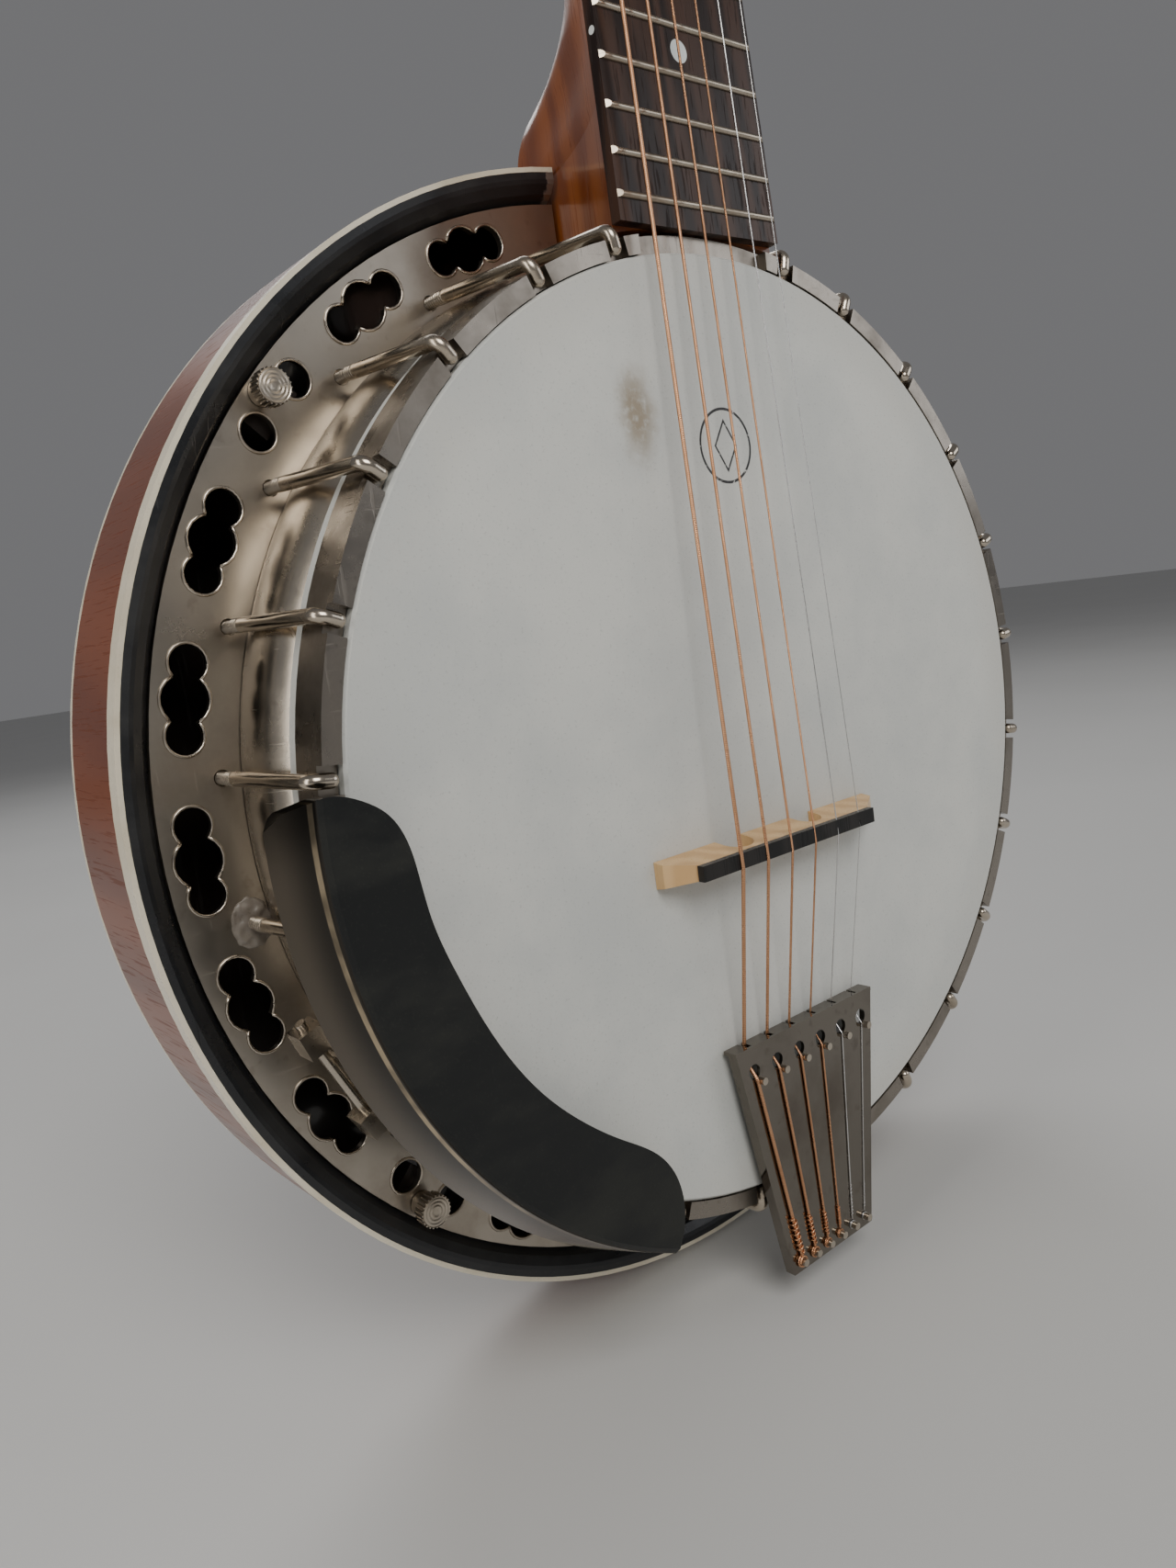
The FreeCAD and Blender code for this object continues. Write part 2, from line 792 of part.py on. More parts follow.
def fret_profile():
    """Crown and tang of a fret across its length, in the neck's frame at z = 0."""
    crown = val("fret_crown")
    half = 1.02
    arc = Part.Arc(vec(0, crown, -half), vec(0, 0, 0), vec(0, crown, half)).toShape()
    base = Part.LineSegment(vec(0, crown, half), vec(0, crown, -half)).toShape()
    return Part.Face(Part.Wire([arc, base]))


def fret_shape(number):
    along = fret_place(number)
    half = board_half(along) - 0.1
    slope = 1.6
    profile = fret_profile()
    profile.translate(vec(-half, 0, along))
    top = val("fret_crown")
    ends = [vec(-half, top, along - 2), vec(slope - half, -0.1, along - 2), vec(half - slope, -0.1, along - 2),
            vec(half, top, along - 2)]
    bevelled = Part.Face(Part.makePolygon(ends + ends[:1])).extrude(Z_AXIS * 4)
    crown = profile.extrude(X_AXIS * (2 * half)).common(bevelled)
    tang = box(vec(1 - half, top - 0.1, along - 0.3), vec(half - 1, top + 1.8, along + 0.3))
    return crown.fuse(tang)


def fret_numbers():
    return range(1, int(val("fret_count")) + 1)


def dot_places():
    """Centres of the round inlays as (x, z) in the neck's frame; the twelfth has a pair."""
    places = []
    for number in DOT_FRETS:
        along = (fret_place(number) + fret_place(number - 1)) / 2
        if number == 12:
            places += [(-9.0, along), (9.0, along)]
        else:
            places.append((0.0, along))
    return places


def dot_shapes():
    top = val("fret_crown")
    return Part.makeCompound([rod(3.2, vec(x, top, z), vec(x, top + 1.2, z)) for x, z in dot_places()])


def side_dot_shapes():
    """Small dots let into the bass edge of the fingerboard."""
    depth = val("fret_crown + board_thick * 0.4")
    dots = []
    for number in DOT_FRETS:
        along = (fret_place(number) + fret_place(number - 1)) / 2
        half = board_half(along)
        dots.append(rod(1.1, vec(-half - 0.04, depth, along), vec(-half + 1.8, depth, along)))
    return Part.makeCompound(dots)


def make_fingerboard():
    """Tapered board with fret slots and pockets for its inlays."""
    start = -val("board_tail")
    finish = nut_place()
    low = board_half(start)
    high = board_half(finish)
    front = val("fret_crown")
    corners = [vec(-low, front, start), vec(low, front, start), vec(high, front, finish), vec(-high, front, finish)]
    board = Part.Face(Part.makePolygon(corners + corners[:1])).extrude(Y_AXIS * val("board_thick"))
    frets = Part.makeCompound([fret_shape(number) for number in fret_numbers()])
    board = board.cut([frets, dot_shapes(), side_dot_shapes()])
    feature("fingerboard", placed(board, neck_placement()))
    feature("frets", placed(frets, neck_placement()))
    feature("inlay_dots", placed(dot_shapes(), neck_placement()))
    feature("side_dots", placed(side_dot_shapes(), neck_placement()))


def string_offset(number, spread):
    """Sideways place of a string, numbered 0 to 5 from the bass side."""
    return (number - 2.5) * val(spread)


def string_nut_point(number):
    """Centre of a string where it leaves the nut, in the head's frame."""
    lift = -0.9 - STRING_RADII[number]
    local = vec(string_offset(number, "nut_spread"), lift, nut_place() + 1)
    return neck_placement().multVec(local)


def string_bridge_point(number):
    depth = -val("bridge_height") - STRING_RADII[number] + 0.35
    return vec(string_offset(number, "bridge_spread"), depth, val("bridge_place"))


def nut_block():
    """The nut before its grooves are cut, in the neck's frame."""
    low = nut_place()
    half = board_half(low)
    return box(vec(-half, -1.6, low), vec(half, val("fret_crown + board_thick"), low + val("nut_thick")))


def make_nut():
    """Bone nut across the end of the fingerboard, grooved for the strings."""
    nut = placed(nut_block(), neck_placement())
    feature("nut", nut.cut(string_grooves()))


def string_grooves():
    """Room for the strings, a little wider than each, along their straight runs."""
    grooves = []
    for number in range(6):
        for points in (string_route(number)[2:4], string_route(number)[3:5], string_route(number)[4:6]):
            along = (points[1] - points[0]).normalize()
            grooves.append(rod(STRING_RADII[number] + 0.06, points[0] - along * 3, points[1] + along * 3))
    return grooves


# ---------------------------------------------------------------- tuners

def make_veneer():
    """Dark front of the peghead."""
    veneer = slab(0, val("veneer_thick")).cut(bushing_bores(4.4))
    veneer = placed(veneer, peghead_placement())
    feature("peghead_veneer", veneer.cut(placed(nut_block(), neck_placement())))


def make_rod_cover():
    """Small bell-shaped cover over the adjuster, with two screws."""
    points = [vec(-9, -1.5, 5), vec(9, -1.5, 5), vec(7, -1.5, 16), vec(2.5, -1.5, 32), vec(-2.5, -1.5, 32),
              vec(-7, -1.5, 16)]
    plate = Part.Face(Part.makePolygon(points + points[:1])).extrude(Y_AXIS * 1.45)
    feature("rod_cover", placed(plate, peghead_placement()))
    screws = [rod(1.7, vec(0, -2.2, z), vec(0, -1.5, z)) for z in (9.0, 27.0)]
    feature("cover_screws", placed(Part.makeCompound(screws), peghead_placement()))


def back_face():
    return val("veneer_thick + peghead_thick")


def worm_height(z):
    return z + val("worm_offset")


def make_tuner_mounts():
    """Gear housings behind the peghead, bushings in its front and the fixing screws."""
    housings = []
    bushings = []
    screws = []
    back = back_face()
    radius = val("post_radius")
    for x, z, side in tuner_sites():
        middle = back + 4.5
        shell = box(vec(x - 8, back, z - 9), vec(x + 8, back + 9, z + 12))
        well = rod(6.2, vec(x, back - 1, z), vec(x, back + 6.6, z))
        worm_z = worm_height(z)
        worm = rod(2.9, vec(x - 6, middle, worm_z), vec(x + 6, middle, worm_z))
        shaft = rod(1.95, vec(x, middle, worm_z), vec(x + side * 12, middle, worm_z))
        housings.append(shell.makeFillet(1.2, shell.Edges).cut([well, worm, shaft]))
        barrel = rod(4.4, vec(x, -0.5, z), vec(x, 11, z))
        flat = hexagon(11.0, vec(x, -2.6, z), vec(x, -0.6, z))
        washer = rod(7.0, vec(x, -0.6, z), vec(x, 0, z))
        bore = rod(radius + 0.05, vec(x, -6, z), vec(x, 12, z))
        bushings.append(barrel.fuse([flat, washer]).cut(bore))
        head = rod(2.0, vec(x - side * 4, back + 9, z - 6), vec(x - side * 4, back + 9.8, z - 6))
        screws.append(head)
    place = peghead_placement()
    feature("tuner_housings", placed(Part.makeCompound(housings), place))
    feature("tuner_bushings", placed(Part.makeCompound(bushings), place))
    feature("tuner_screws", placed(Part.makeCompound(screws), place))


def post_shape():
    """String post with a waist for the windings and its gear inside the housing."""
    radius = val("post_radius")
    waist = val("post_waist")
    back = back_face()
    parts = [
        rod(radius, vec(0, -12.5, 0), vec(0, -10.5, 0)),
        rod(waist, vec(0, -10.5, 0), vec(0, -4.5, 0)),
        rod(radius, vec(0, -4.5, 0), vec(0, back + 2, 0)),
        rod(5.2, vec(0, back + 2, 0), vec(0, back + 6, 0)),
    ]
    post = parts[0].fuse(parts[1:])
    hole = rod(0.8, vec(-5, -7.5, 0), vec(5, -7.5, 0))
    return post.cut(hole).removeSplitter()


def button_shape(side):
    """Worm, its shaft and the oval button outside the peghead, along X."""
    worm = rod(2.2, vec(-side * 4.5, 0, 0), vec(side * 4.5, 0, 0))
    shaft = rod(1.9, vec(0, 0, 0), vec(side * 24, 0, 0))
    collar = Part.makeCone(3.6, 2.6, 4, vec(side * 16, 0, 0), vec(side, 0, 0))
    thick = 6.4
    middle = vec(side * 26, -thick / 2, 0)
    oval = Part.Ellipse(middle + Z_AXIS * 8.5, middle + X_AXIS * 7.2, middle).toShape()
    paddle = Part.Face(Part.Wire([oval])).extrude(Y_AXIS * thick)
    rims = [edge for edge in paddle.Edges if edge.isClosed()]
    return worm.fuse([shaft, collar, paddle.makeFillet(2.4, rims)])


def make_tuners():
    place = peghead_placement()
    middle = back_face() + 4.5
    for number, (x, z, side) in enumerate(tuner_sites(), start=1):
        post = post_shape()
        post.translate(vec(x, 0, z))
        feature("tuner_post_%d" % number, placed(post, place))
        button = button_shape(side)
        button.translate(vec(x, middle, worm_height(z)))
        feature("tuner_button_%d" % number, placed(button, place))


# ---------------------------------------------------------------- strings, bridge and tailpiece

def plate_front(height):
    """Depth of the tailpiece's front face at a height on the pot."""
    top = val("plate_top")
    share = (height - top) / (val("plate_bottom") - top)
    return -6.2 - 1.2 * share


def string_end(number):
    """Where a string meets the waist of its post, in the head's frame."""
    x, z, side = tuner_sites()[number]
    reach = val("post_waist") + STRING_RADII[number] + 0.15
    local = vec(x - side * reach, -7.0, z)
    return peghead_placement().multVec(local)


def string_route(number):
    """Points from the tailpiece's pin through its hole, over the bridge and nut, to the post."""
    radius = STRING_RADII[number]
    hole_x = string_offset(number, "plate_spread")
    pin_x = string_offset(number, "pin_spread")
    over = radius + 0.1
    return [
        vec(pin_x, plate_front(val("pin_height")) - over, val("pin_height") + 2),
        vec(hole_x, plate_front(val("guide_height")) - over, val("guide_height")),
        vec(hole_x, -2.6, val("guide_height") + 5.7),
        string_bridge_point(number),
        string_nut_point(number),
        string_end(number),
    ]


def make_strings():
    for number, radius in enumerate(STRING_RADII):
        wide = 6 * radius
        shape = wire_rod(string_route(number), [wide, wide, 5 * radius + 4, 5 * radius + 4], radius)
        feature("string_%d" % (number + 1), shape)


def bar_along_x(points, low, high):
    """A bar of the section given as (y, z) points, from one X to another."""
    corners = [vec(low, y, z) for y, z in points]
    return Part.Face(Part.makePolygon(corners + corners[:1])).extrude(X_AXIS * (high - low))


def make_bridge():
    """Maple body on three feet under an ebony cap grooved for the strings."""
    crest = -val("bridge_height")
    cap_thick = 2.4
    top = crest + cap_thick
    cap_low = val("bridge_place")
    cap_high = cap_low + 4.6
    foot_low = cap_low - 1.5
    foot_high = cap_low + 6.4
    sole = -0.1
    wedge = [(sole, foot_low), (top, cap_low), (top, cap_high), (sole, foot_high)]
    block = bar_along_x(wedge, -50, 46)
    outline = [vec(-50, sole, 0), vec(-50, -3.5, 0), vec(-42, top, 0), vec(35, top, 0), vec(46, -3.5, 0),
               vec(46, sole, 0)]
    side_view = Part.Face(Part.makePolygon(outline + outline[:1])).extrude(Z_AXIS * 20)
    side_view.translate(vec(0, 0, cap_low - 6))
    arches = []
    for low, high in ((-25.0, -14.0), (8.6, 18.0)):
        middle = (low + high) / 2
        spring = -3.2
        arches.append(box(vec(low, spring, foot_low - 5), vec(high, 2, foot_high + 5)))
        arches.append(rod((high - low) / 2, vec(middle, spring, foot_low - 5), vec(middle, spring, foot_high + 5)))
    feature("bridge_body", block.common(side_view).cut(arches).removeSplitter())
    cap = box(vec(-43, crest, cap_low), vec(35, top, cap_high))
    feature("bridge_cap", cap.cut(string_grooves()).removeSplitter())


def tailpiece_sheet(offset, thickness):
    """The trapezoid of the tailpiece, pushed back by an offset."""
    top = val("plate_top")
    bottom = val("plate_bottom")
    wide = val("plate_half_top")
    narrow = val("plate_half_end")
    high = plate_front(top) + offset
    low = plate_front(bottom) + offset
    corners = [vec(-narrow, low, bottom), vec(narrow, low, bottom), vec(wide, high, top), vec(-wide, high, top)]
    return Part.Face(Part.makePolygon(corners + corners[:1])).extrude(Y_AXIS * thickness)


def tailpiece_folds():
    """The lip along the top and the fold along each side."""
    sheet_thick = val("plate_sheet")
    top = val("plate_top")
    bottom = val("plate_bottom")
    wide = val("plate_half_top")
    folds = [box(vec(-wide, plate_front(top), top - sheet_thick), vec(wide, -1.2, top))]
    for side in (-1, 1):
        low = vec(side * val("plate_half_end"), plate_front(bottom), bottom)
        high = vec(side * wide, plate_front(top), top)
        inward = X_AXIS * side * sheet_thick
        corners = [low, high, high - inward, low - inward]
        folds.append(Part.Face(Part.makePolygon(corners + corners[:1])).extrude(Y_AXIS * 3.6))
    return folds


def make_tailpiece():
    """Folded metal plate with a notched lip and guide holes, and the pins on its face."""
    top = val("plate_top")
    guide = val("guide_height")
    pin_z = val("pin_height")
    pin_radius = 1.15
    tools = []
    pins = []
    for number, radius in enumerate(STRING_RADII):
        x = string_offset(number, "plate_spread")
        width = radius + 0.3
        tools.append(rod(2.4, vec(x, -15, guide + 2.3), vec(x, 3, guide + 2.3)))
        tools.append(box(vec(x - width, -5.3, top - 3), vec(x + width, 0, top + 3)))
        beside = x + radius + pin_radius + 0.1
        face = plate_front(guide)
        pins.append(rod(pin_radius, vec(beside, face - 2.2, guide - 0.9), vec(beside, face - 0.04, guide - 0.9)))
        end = string_offset(number, "pin_spread")
        face = plate_front(pin_z)
        pins.append(rod(pin_radius, vec(end, face - 2.4, pin_z), vec(end, face - 0.04, pin_z)))
    plate = tailpiece_sheet(0, val("plate_sheet"))
    feature("tailpiece_plate", plate.fuse(tailpiece_folds()).cut(tools).removeSplitter())
    feature("tailpiece_pins", Part.makeCompound(pins))


def make_tail_bracket():
    """Angle strap from the underside of the tailpiece down to the upper rod's end."""
    under = plate_front(val("plate_bottom")) + val("plate_sheet")
    strap = box(vec(-9, under + 0.6, -152.4), vec(9, 41, -150.2))
    leg = box(vec(-9, under + 0.6, -166), vec(9, under + 2.4, -150.2))
    foot = box(vec(-9, under - 0.1, -166), vec(9, under + 0.7, -160))
    depth = val("upper_rod")
    bore = rod(val("rod_end") + 0.1, vec(0, depth, -160), vec(0, depth, -140))
    bracket = strap.fuse([leg, foot]).cut([bore, tailpiece_sheet(-0.02, val("plate_sheet") + 0.04)])
    feature("tail_bracket", bracket.removeSplitter())


# ---------------------------------------------------------------- armrest

def armrest_profile():
    """Section of the armrest along its own radius: a flat top, a crisp bend and a sloping skirt."""
    thick = 1.5
    ridge = val("arm_ridge")
    front = val("arm_front")
    foot = ridge + val("arm_flare")
    section = [
        vec(110, front, 0),
        vec(ridge - 1.6, front, 0),
        vec(ridge, front + 1.1, 0),
        vec(foot, front + val("arm_drop"), 0),
        vec(foot - thick, front + val("arm_drop"), 0),
        vec(ridge - thick - 0.3, front + 2.0, 0),
        vec(ridge - thick - 1.0, front + thick, 0),
        vec(110, front + thick, 0),
    ]
    return Part.Face(Part.makePolygon(section + section[:1]))


def make_armrest():
    """Black plate that bridges the edge of the head on the bass side, set out past the pot."""
    band = armrest_profile()
    band.rotate(vec(0, 0, 0), Y_AXIS, -90)
    band.rotate(vec(0, 0, 0), Y_AXIS, -76)
    swept = band.revolve(vec(0, 0, 0), Y_AXIS, -86)
    swept.translate(polar(val("arm_shift"), -92))
    inner = [(154, -85.2), (149.5, -85.1), (143.6, -85.8), (137.9, -87.3), (134.2, -89.9), (132.8, -93.2), (132.4, -98.4),
             (131.1, -105.0), (130.1, -113.5), (128.9, -123.7), (127.1, -131.5), (125.6, -138.0), (125.4, -143.6),
             (129.2, -147.9), (136.2, -150.6), (144.5, -151.7)]
    points = [polar(radius, angle, -40) for radius, angle in inner]
    curve = Part.BSplineCurve()
    curve.interpolate(points)
    closing = [points[-1], polar(165, -151.5, -40), polar(190, -118, -40), polar(165, -94.0, -40),
               polar(160.8, -90.0, -40), polar(159.4, -87.8, -40), polar(157.4, -86.3, -40), points[0]]
    edges = [curve.toShape()]
    for start, finish in zip(closing[:-1], closing[1:]):
        edges.append(Part.LineSegment(start, finish).toShape())
    prism = Part.Face(Part.Wire(edges)).extrude(Y_AXIS * 80)
    feature("armrest_plate", swept.common(prism).removeSplitter())


def make_armrest_brackets():
    """Two straps under the armrest, joined outside a bracket hook by a rod with square nuts."""
    under = val("arm_front") + 1.6
    inner = 151.4
    outer = 152.7
    block_depth = 30.0
    section = [(34, outer), (under + 5.5, outer), (under, 149.0), (under, 144.0), (under + 1.1, 144.0),
               (under + 1.1, 148.4), (under + 5.9, inner), (34, inner)]
    strap = bar_along_x(section, -3.5, 3.5)
    block = box(vec(-3.6, block_depth - 4, inner), vec(3.6, block_depth + 4, 158.4))
    bracket = strap.fuse(block)
    parts = []
    angles = (-109.8, -120.6)
    for angle in angles:
        parts.append(turned_to(bracket, angle))
    ends = [polar(155.4, angles[0] + 2.0, block_depth), polar(155.4, angles[1] - 2.0, block_depth)]
    feature("armrest_brackets", parts[0].fuse([parts[1], rod(1.5, ends[0], ends[1])]).removeSplitter())


def build():
    make_head()
    make_flesh_ring()
    make_hoop()
    make_hooks()
    make_hook_nuts()
    make_tone_ring()
    make_rim()
    make_tube()
    make_flange()
    make_rods()
    make_rod_nuts()
    make_resonator()
    make_lugs()
    make_thumbscrews()
    make_heel_cap(make_neck())
    make_fingerboard()
    make_nut()
    make_veneer()
    make_rod_cover()
    make_tuner_mounts()
    make_tuners()
    make_strings()
    make_bridge()
    make_tailpiece()
    make_tail_bracket()
    make_armrest()
    make_armrest_brackets()


def write():
    """Check every object of the document, then write one file per sub-part."""
    doc.recompute()
    for item in doc.Objects:
        if "Invalid" in item.State or "Error" in item.State:
            raise RuntimeError("%s did not compute" % item.Label)
    os.makedirs("parts", exist_ok=True)
    for item in sub_parts:
        if item.Shape.isNull() or not item.Shape.isValid():
            raise RuntimeError("%s has no valid shape" % item.Label)
        item.Shape.exportStep("parts/%s.step" % item.Label)
        print("%-20s solids %3d volume %10.1f" % (item.Label, len(item.Shape.Solids), item.Shape.Volume))


build()
write()
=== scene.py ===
# %% [markdown]
# # A resonator banjo: finish, light and small parts
# The solid parts of the banjo come from a CAD model that is already right in shape and size.
# Here they get their surfaces, and the small parts that a CAD solid leaves out are added:
# string windings, loops round the pins, grooved screw heads, lips round the sound holes and a
# lump of old glue.
# The first line of code loads the model. Nothing that it loads is moved or reshaped.

# %% Load the model
import json
import math

import bpy
from mathutils import Matrix, Vector


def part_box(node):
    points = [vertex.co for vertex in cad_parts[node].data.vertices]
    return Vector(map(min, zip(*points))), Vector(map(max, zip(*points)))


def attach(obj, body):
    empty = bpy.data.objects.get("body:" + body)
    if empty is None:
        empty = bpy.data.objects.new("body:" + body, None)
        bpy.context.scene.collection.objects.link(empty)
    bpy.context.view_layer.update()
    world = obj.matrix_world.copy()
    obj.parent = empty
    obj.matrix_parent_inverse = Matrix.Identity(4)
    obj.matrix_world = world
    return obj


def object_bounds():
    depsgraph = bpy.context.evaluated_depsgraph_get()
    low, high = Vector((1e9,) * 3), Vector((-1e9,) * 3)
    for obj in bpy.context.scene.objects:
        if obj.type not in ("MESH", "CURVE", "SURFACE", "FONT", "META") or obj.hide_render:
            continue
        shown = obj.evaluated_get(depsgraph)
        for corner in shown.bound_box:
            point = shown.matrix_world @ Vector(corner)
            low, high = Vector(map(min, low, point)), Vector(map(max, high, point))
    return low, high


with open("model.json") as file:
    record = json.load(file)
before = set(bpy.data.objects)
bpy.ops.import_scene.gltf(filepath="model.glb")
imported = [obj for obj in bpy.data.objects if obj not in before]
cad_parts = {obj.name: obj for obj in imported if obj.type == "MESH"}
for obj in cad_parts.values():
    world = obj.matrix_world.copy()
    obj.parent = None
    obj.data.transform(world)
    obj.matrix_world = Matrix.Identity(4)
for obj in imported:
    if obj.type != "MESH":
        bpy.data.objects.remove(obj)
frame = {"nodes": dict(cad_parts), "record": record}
cad_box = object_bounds()
MM = 0.001

# %% [markdown]
# ## Camera
# A camera can be turned with angles, or given three directions: what is to its right, what is
# down, and where it looks. Directions are used here, because they keep a small roll exactly.

# %% Camera
camera_data = bpy.data.cameras.new("camera")
camera_data.sensor_width = 36
camera_data.lens = 25.88
camera_data.clip_start = 0.01
to_right = Vector((0.760, -0.636, -0.133)).normalized()
to_bottom = Vector((-0.198, -0.032, -0.980))
to_bottom = (to_bottom - to_right * to_bottom.dot(to_right)).normalized()
ahead = to_right.cross(to_bottom)
camera = bpy.data.objects.new("camera", camera_data)
camera.matrix_world = Matrix((to_right, -to_bottom, -ahead)).transposed().to_4x4()
camera.matrix_world.translation = Vector((-0.25617, -0.31355, 0.04428))
bpy.context.collection.objects.link(camera)
bpy.context.scene.camera = camera
print("camera looks along", [round(number, 3) for number in ahead])

# %% [markdown]
# ## Floor and light
# Polished metal shows whatever is round it, so an even white room would make it look like
# plaster. A grey world with a few large lamps gives it bright and dark bands instead.
# A large lamp has soft shadows; the lamp's size matters more for that than its strength.

# %% Floor
FLOOR_SIZE = 14
FLOOR_BEHIND = 2.0


def deselect():
    bpy.ops.object.select_all(action="DESELECT")


def make_floor():
    deselect()
    place = (0, FLOOR_BEHIND, cad_box[0][2] - 2 * MM)
    bpy.ops.mesh.primitive_plane_add(size=FLOOR_SIZE, location=place)
    floor = bpy.context.object
    floor.name = "floor"
    return floor


floor = make_floor()
print("floor at", round(floor.location.z, 4))

# %% World and lamps
def aim(item, target):
    item.rotation_euler = (Vector(target) - item.location).to_track_quat("-Z", "Y").to_euler()


def add_lamp(name, place, target, size, power, tint):
    data = bpy.data.lights.new(name, "AREA")
    data.shape = "RECTANGLE"
    data.size = size[0]
    data.size_y = size[1]
    data.energy = power
    data.color = tint
    lamp = bpy.data.objects.new(name, data)
    lamp.location = place
    bpy.context.collection.objects.link(lamp)
    aim(lamp, target)
    return lamp


world = bpy.data.worlds.new("studio")
world.use_nodes = True
world.node_tree.nodes["Background"].inputs["Color"].default_value = (0.17, 0.17, 0.175, 1)
bpy.context.scene.world = world
POT = (0.0, -0.05, 0.02)
add_lamp("key", (-0.55, -1.30, 1.15), POT, (0.9, 0.9), 19, (1.0, 0.97, 0.93))
add_lamp("fill", (1.30, -1.10, 0.55), POT, (1.2, 0.8), 5, (0.95, 0.97, 1.0))
add_lamp("side", (-1.35, -0.15, 0.35), POT, (0.35, 1.3), 6, (1.0, 0.96, 0.90))
add_lamp("back", (0.50, 1.40, 1.50), POT, (1.4, 0.8), 14, (1.0, 1.0, 1.0))

# %% [markdown]
# ## Writing materials in code
# In the shader editor nodes are added and joined by hand. Three short helpers do the same:
# `put` adds a node and fills its sockets, `new_group` starts a node group that many materials
# share, and `new_material` gives an empty material with its Principled shader.
# A socket is filled with a number, a colour or the output of another node.

# %% Node helpers
def put(tree, kind, attributes=None, **sockets):
    node = tree.nodes.new(kind)
    for name, value in (attributes or {}).items():
        setattr(node, name, value)
    for name, value in sockets.items():
        key = int(name[1:]) if name[1:].isdigit() else name.replace("_", " ")
        socket = node.inputs[key]
        if isinstance(value, bpy.types.NodeSocket):
            tree.links.new(value, socket)
        else:
            socket.default_value = value
    return node


def maths(tree, operation, first, second=0.0):
    return put(tree, "ShaderNodeMath", {"operation": operation}, _0=first, _1=second).outputs[0]


def ramp(tree, value, low, high, low_value=0.0, high_value=1.0):
    node = put(tree, "ShaderNodeMapRange", {"interpolation_type": "SMOOTHSTEP"}, Value=value)
    node.inputs["From Min"].default_value = low
    node.inputs["From Max"].default_value = high
    node.inputs["To Min"].default_value = low_value
    node.inputs["To Max"].default_value = high_value
    return node.outputs["Result"]


def blend_colours(tree, share, first, second):
    return put(tree, "ShaderNodeMix", {"data_type": "RGBA"}, _0=share, _6=first, _7=second).outputs[2]


def noise(tree, vector, scale, detail=4.0, roughness=0.55):
    node = put(tree, "ShaderNodeTexNoise", Vector=vector, Scale=scale, Detail=detail, Roughness=roughness)
    return node.outputs["Fac"]


def stretched(tree, vector, scale):
    return put(tree, "ShaderNodeMapping", Vector=vector, Scale=scale).outputs["Vector"]


# %% Groups and materials
def new_group(name, inputs, outputs):
    group = bpy.data.node_groups.new(name, "ShaderNodeTree")
    for label, kind, start in inputs:
        socket = group.interface.new_socket(name=label, in_out="INPUT", socket_type=kind)
        if start is not None:
            socket.default_value = start
    for label, kind in outputs:
        group.interface.new_socket(name=label, in_out="OUTPUT", socket_type=kind)
    entry = group.nodes.new("NodeGroupInput")
    result = group.nodes.new("NodeGroupOutput")
    return group, entry.outputs, result.inputs


def use_group(tree, group, **sockets):
    return put(tree, "ShaderNodeGroup", {"node_tree": group}, **sockets).outputs


def new_material(name):
    material = bpy.data.materials.new(name)
    material.use_nodes = True
    tree = material.node_tree
    shader = tree.nodes["Principled BSDF"]
    place = tree.nodes.new("ShaderNodeTexCoord").outputs["Object"]
    return material, tree, shader, place


def join(tree, shader, **sockets):
    for name, value in sockets.items():
        socket = shader.inputs[name.replace("_", " ")]
        if isinstance(value, bpy.types.NodeSocket):
            tree.links.new(value, socket)
        else:
            socket.default_value = value


def bump(tree, height, distance, strength=1.0):
    node = put(tree, "ShaderNodeBump", Height=height, Strength=strength, Distance=distance)
    return node.outputs["Normal"]


COLOR = "NodeSocketColor"
FLOAT = "NodeSocketFloat"
VECTOR = "NodeSocketVector"

# %% [markdown]
# ## Shared effects
# Four effects come back in many finishes: tarnish with fine scratches on metal, the figure of
# wood, handling marks on smooth plastic and lacquer, and the wrap of a wound string.
# Each is a node group with its own inputs, so one idea serves many materials.
# Groups give out only colours, masks and heights; the shader stays in each material.

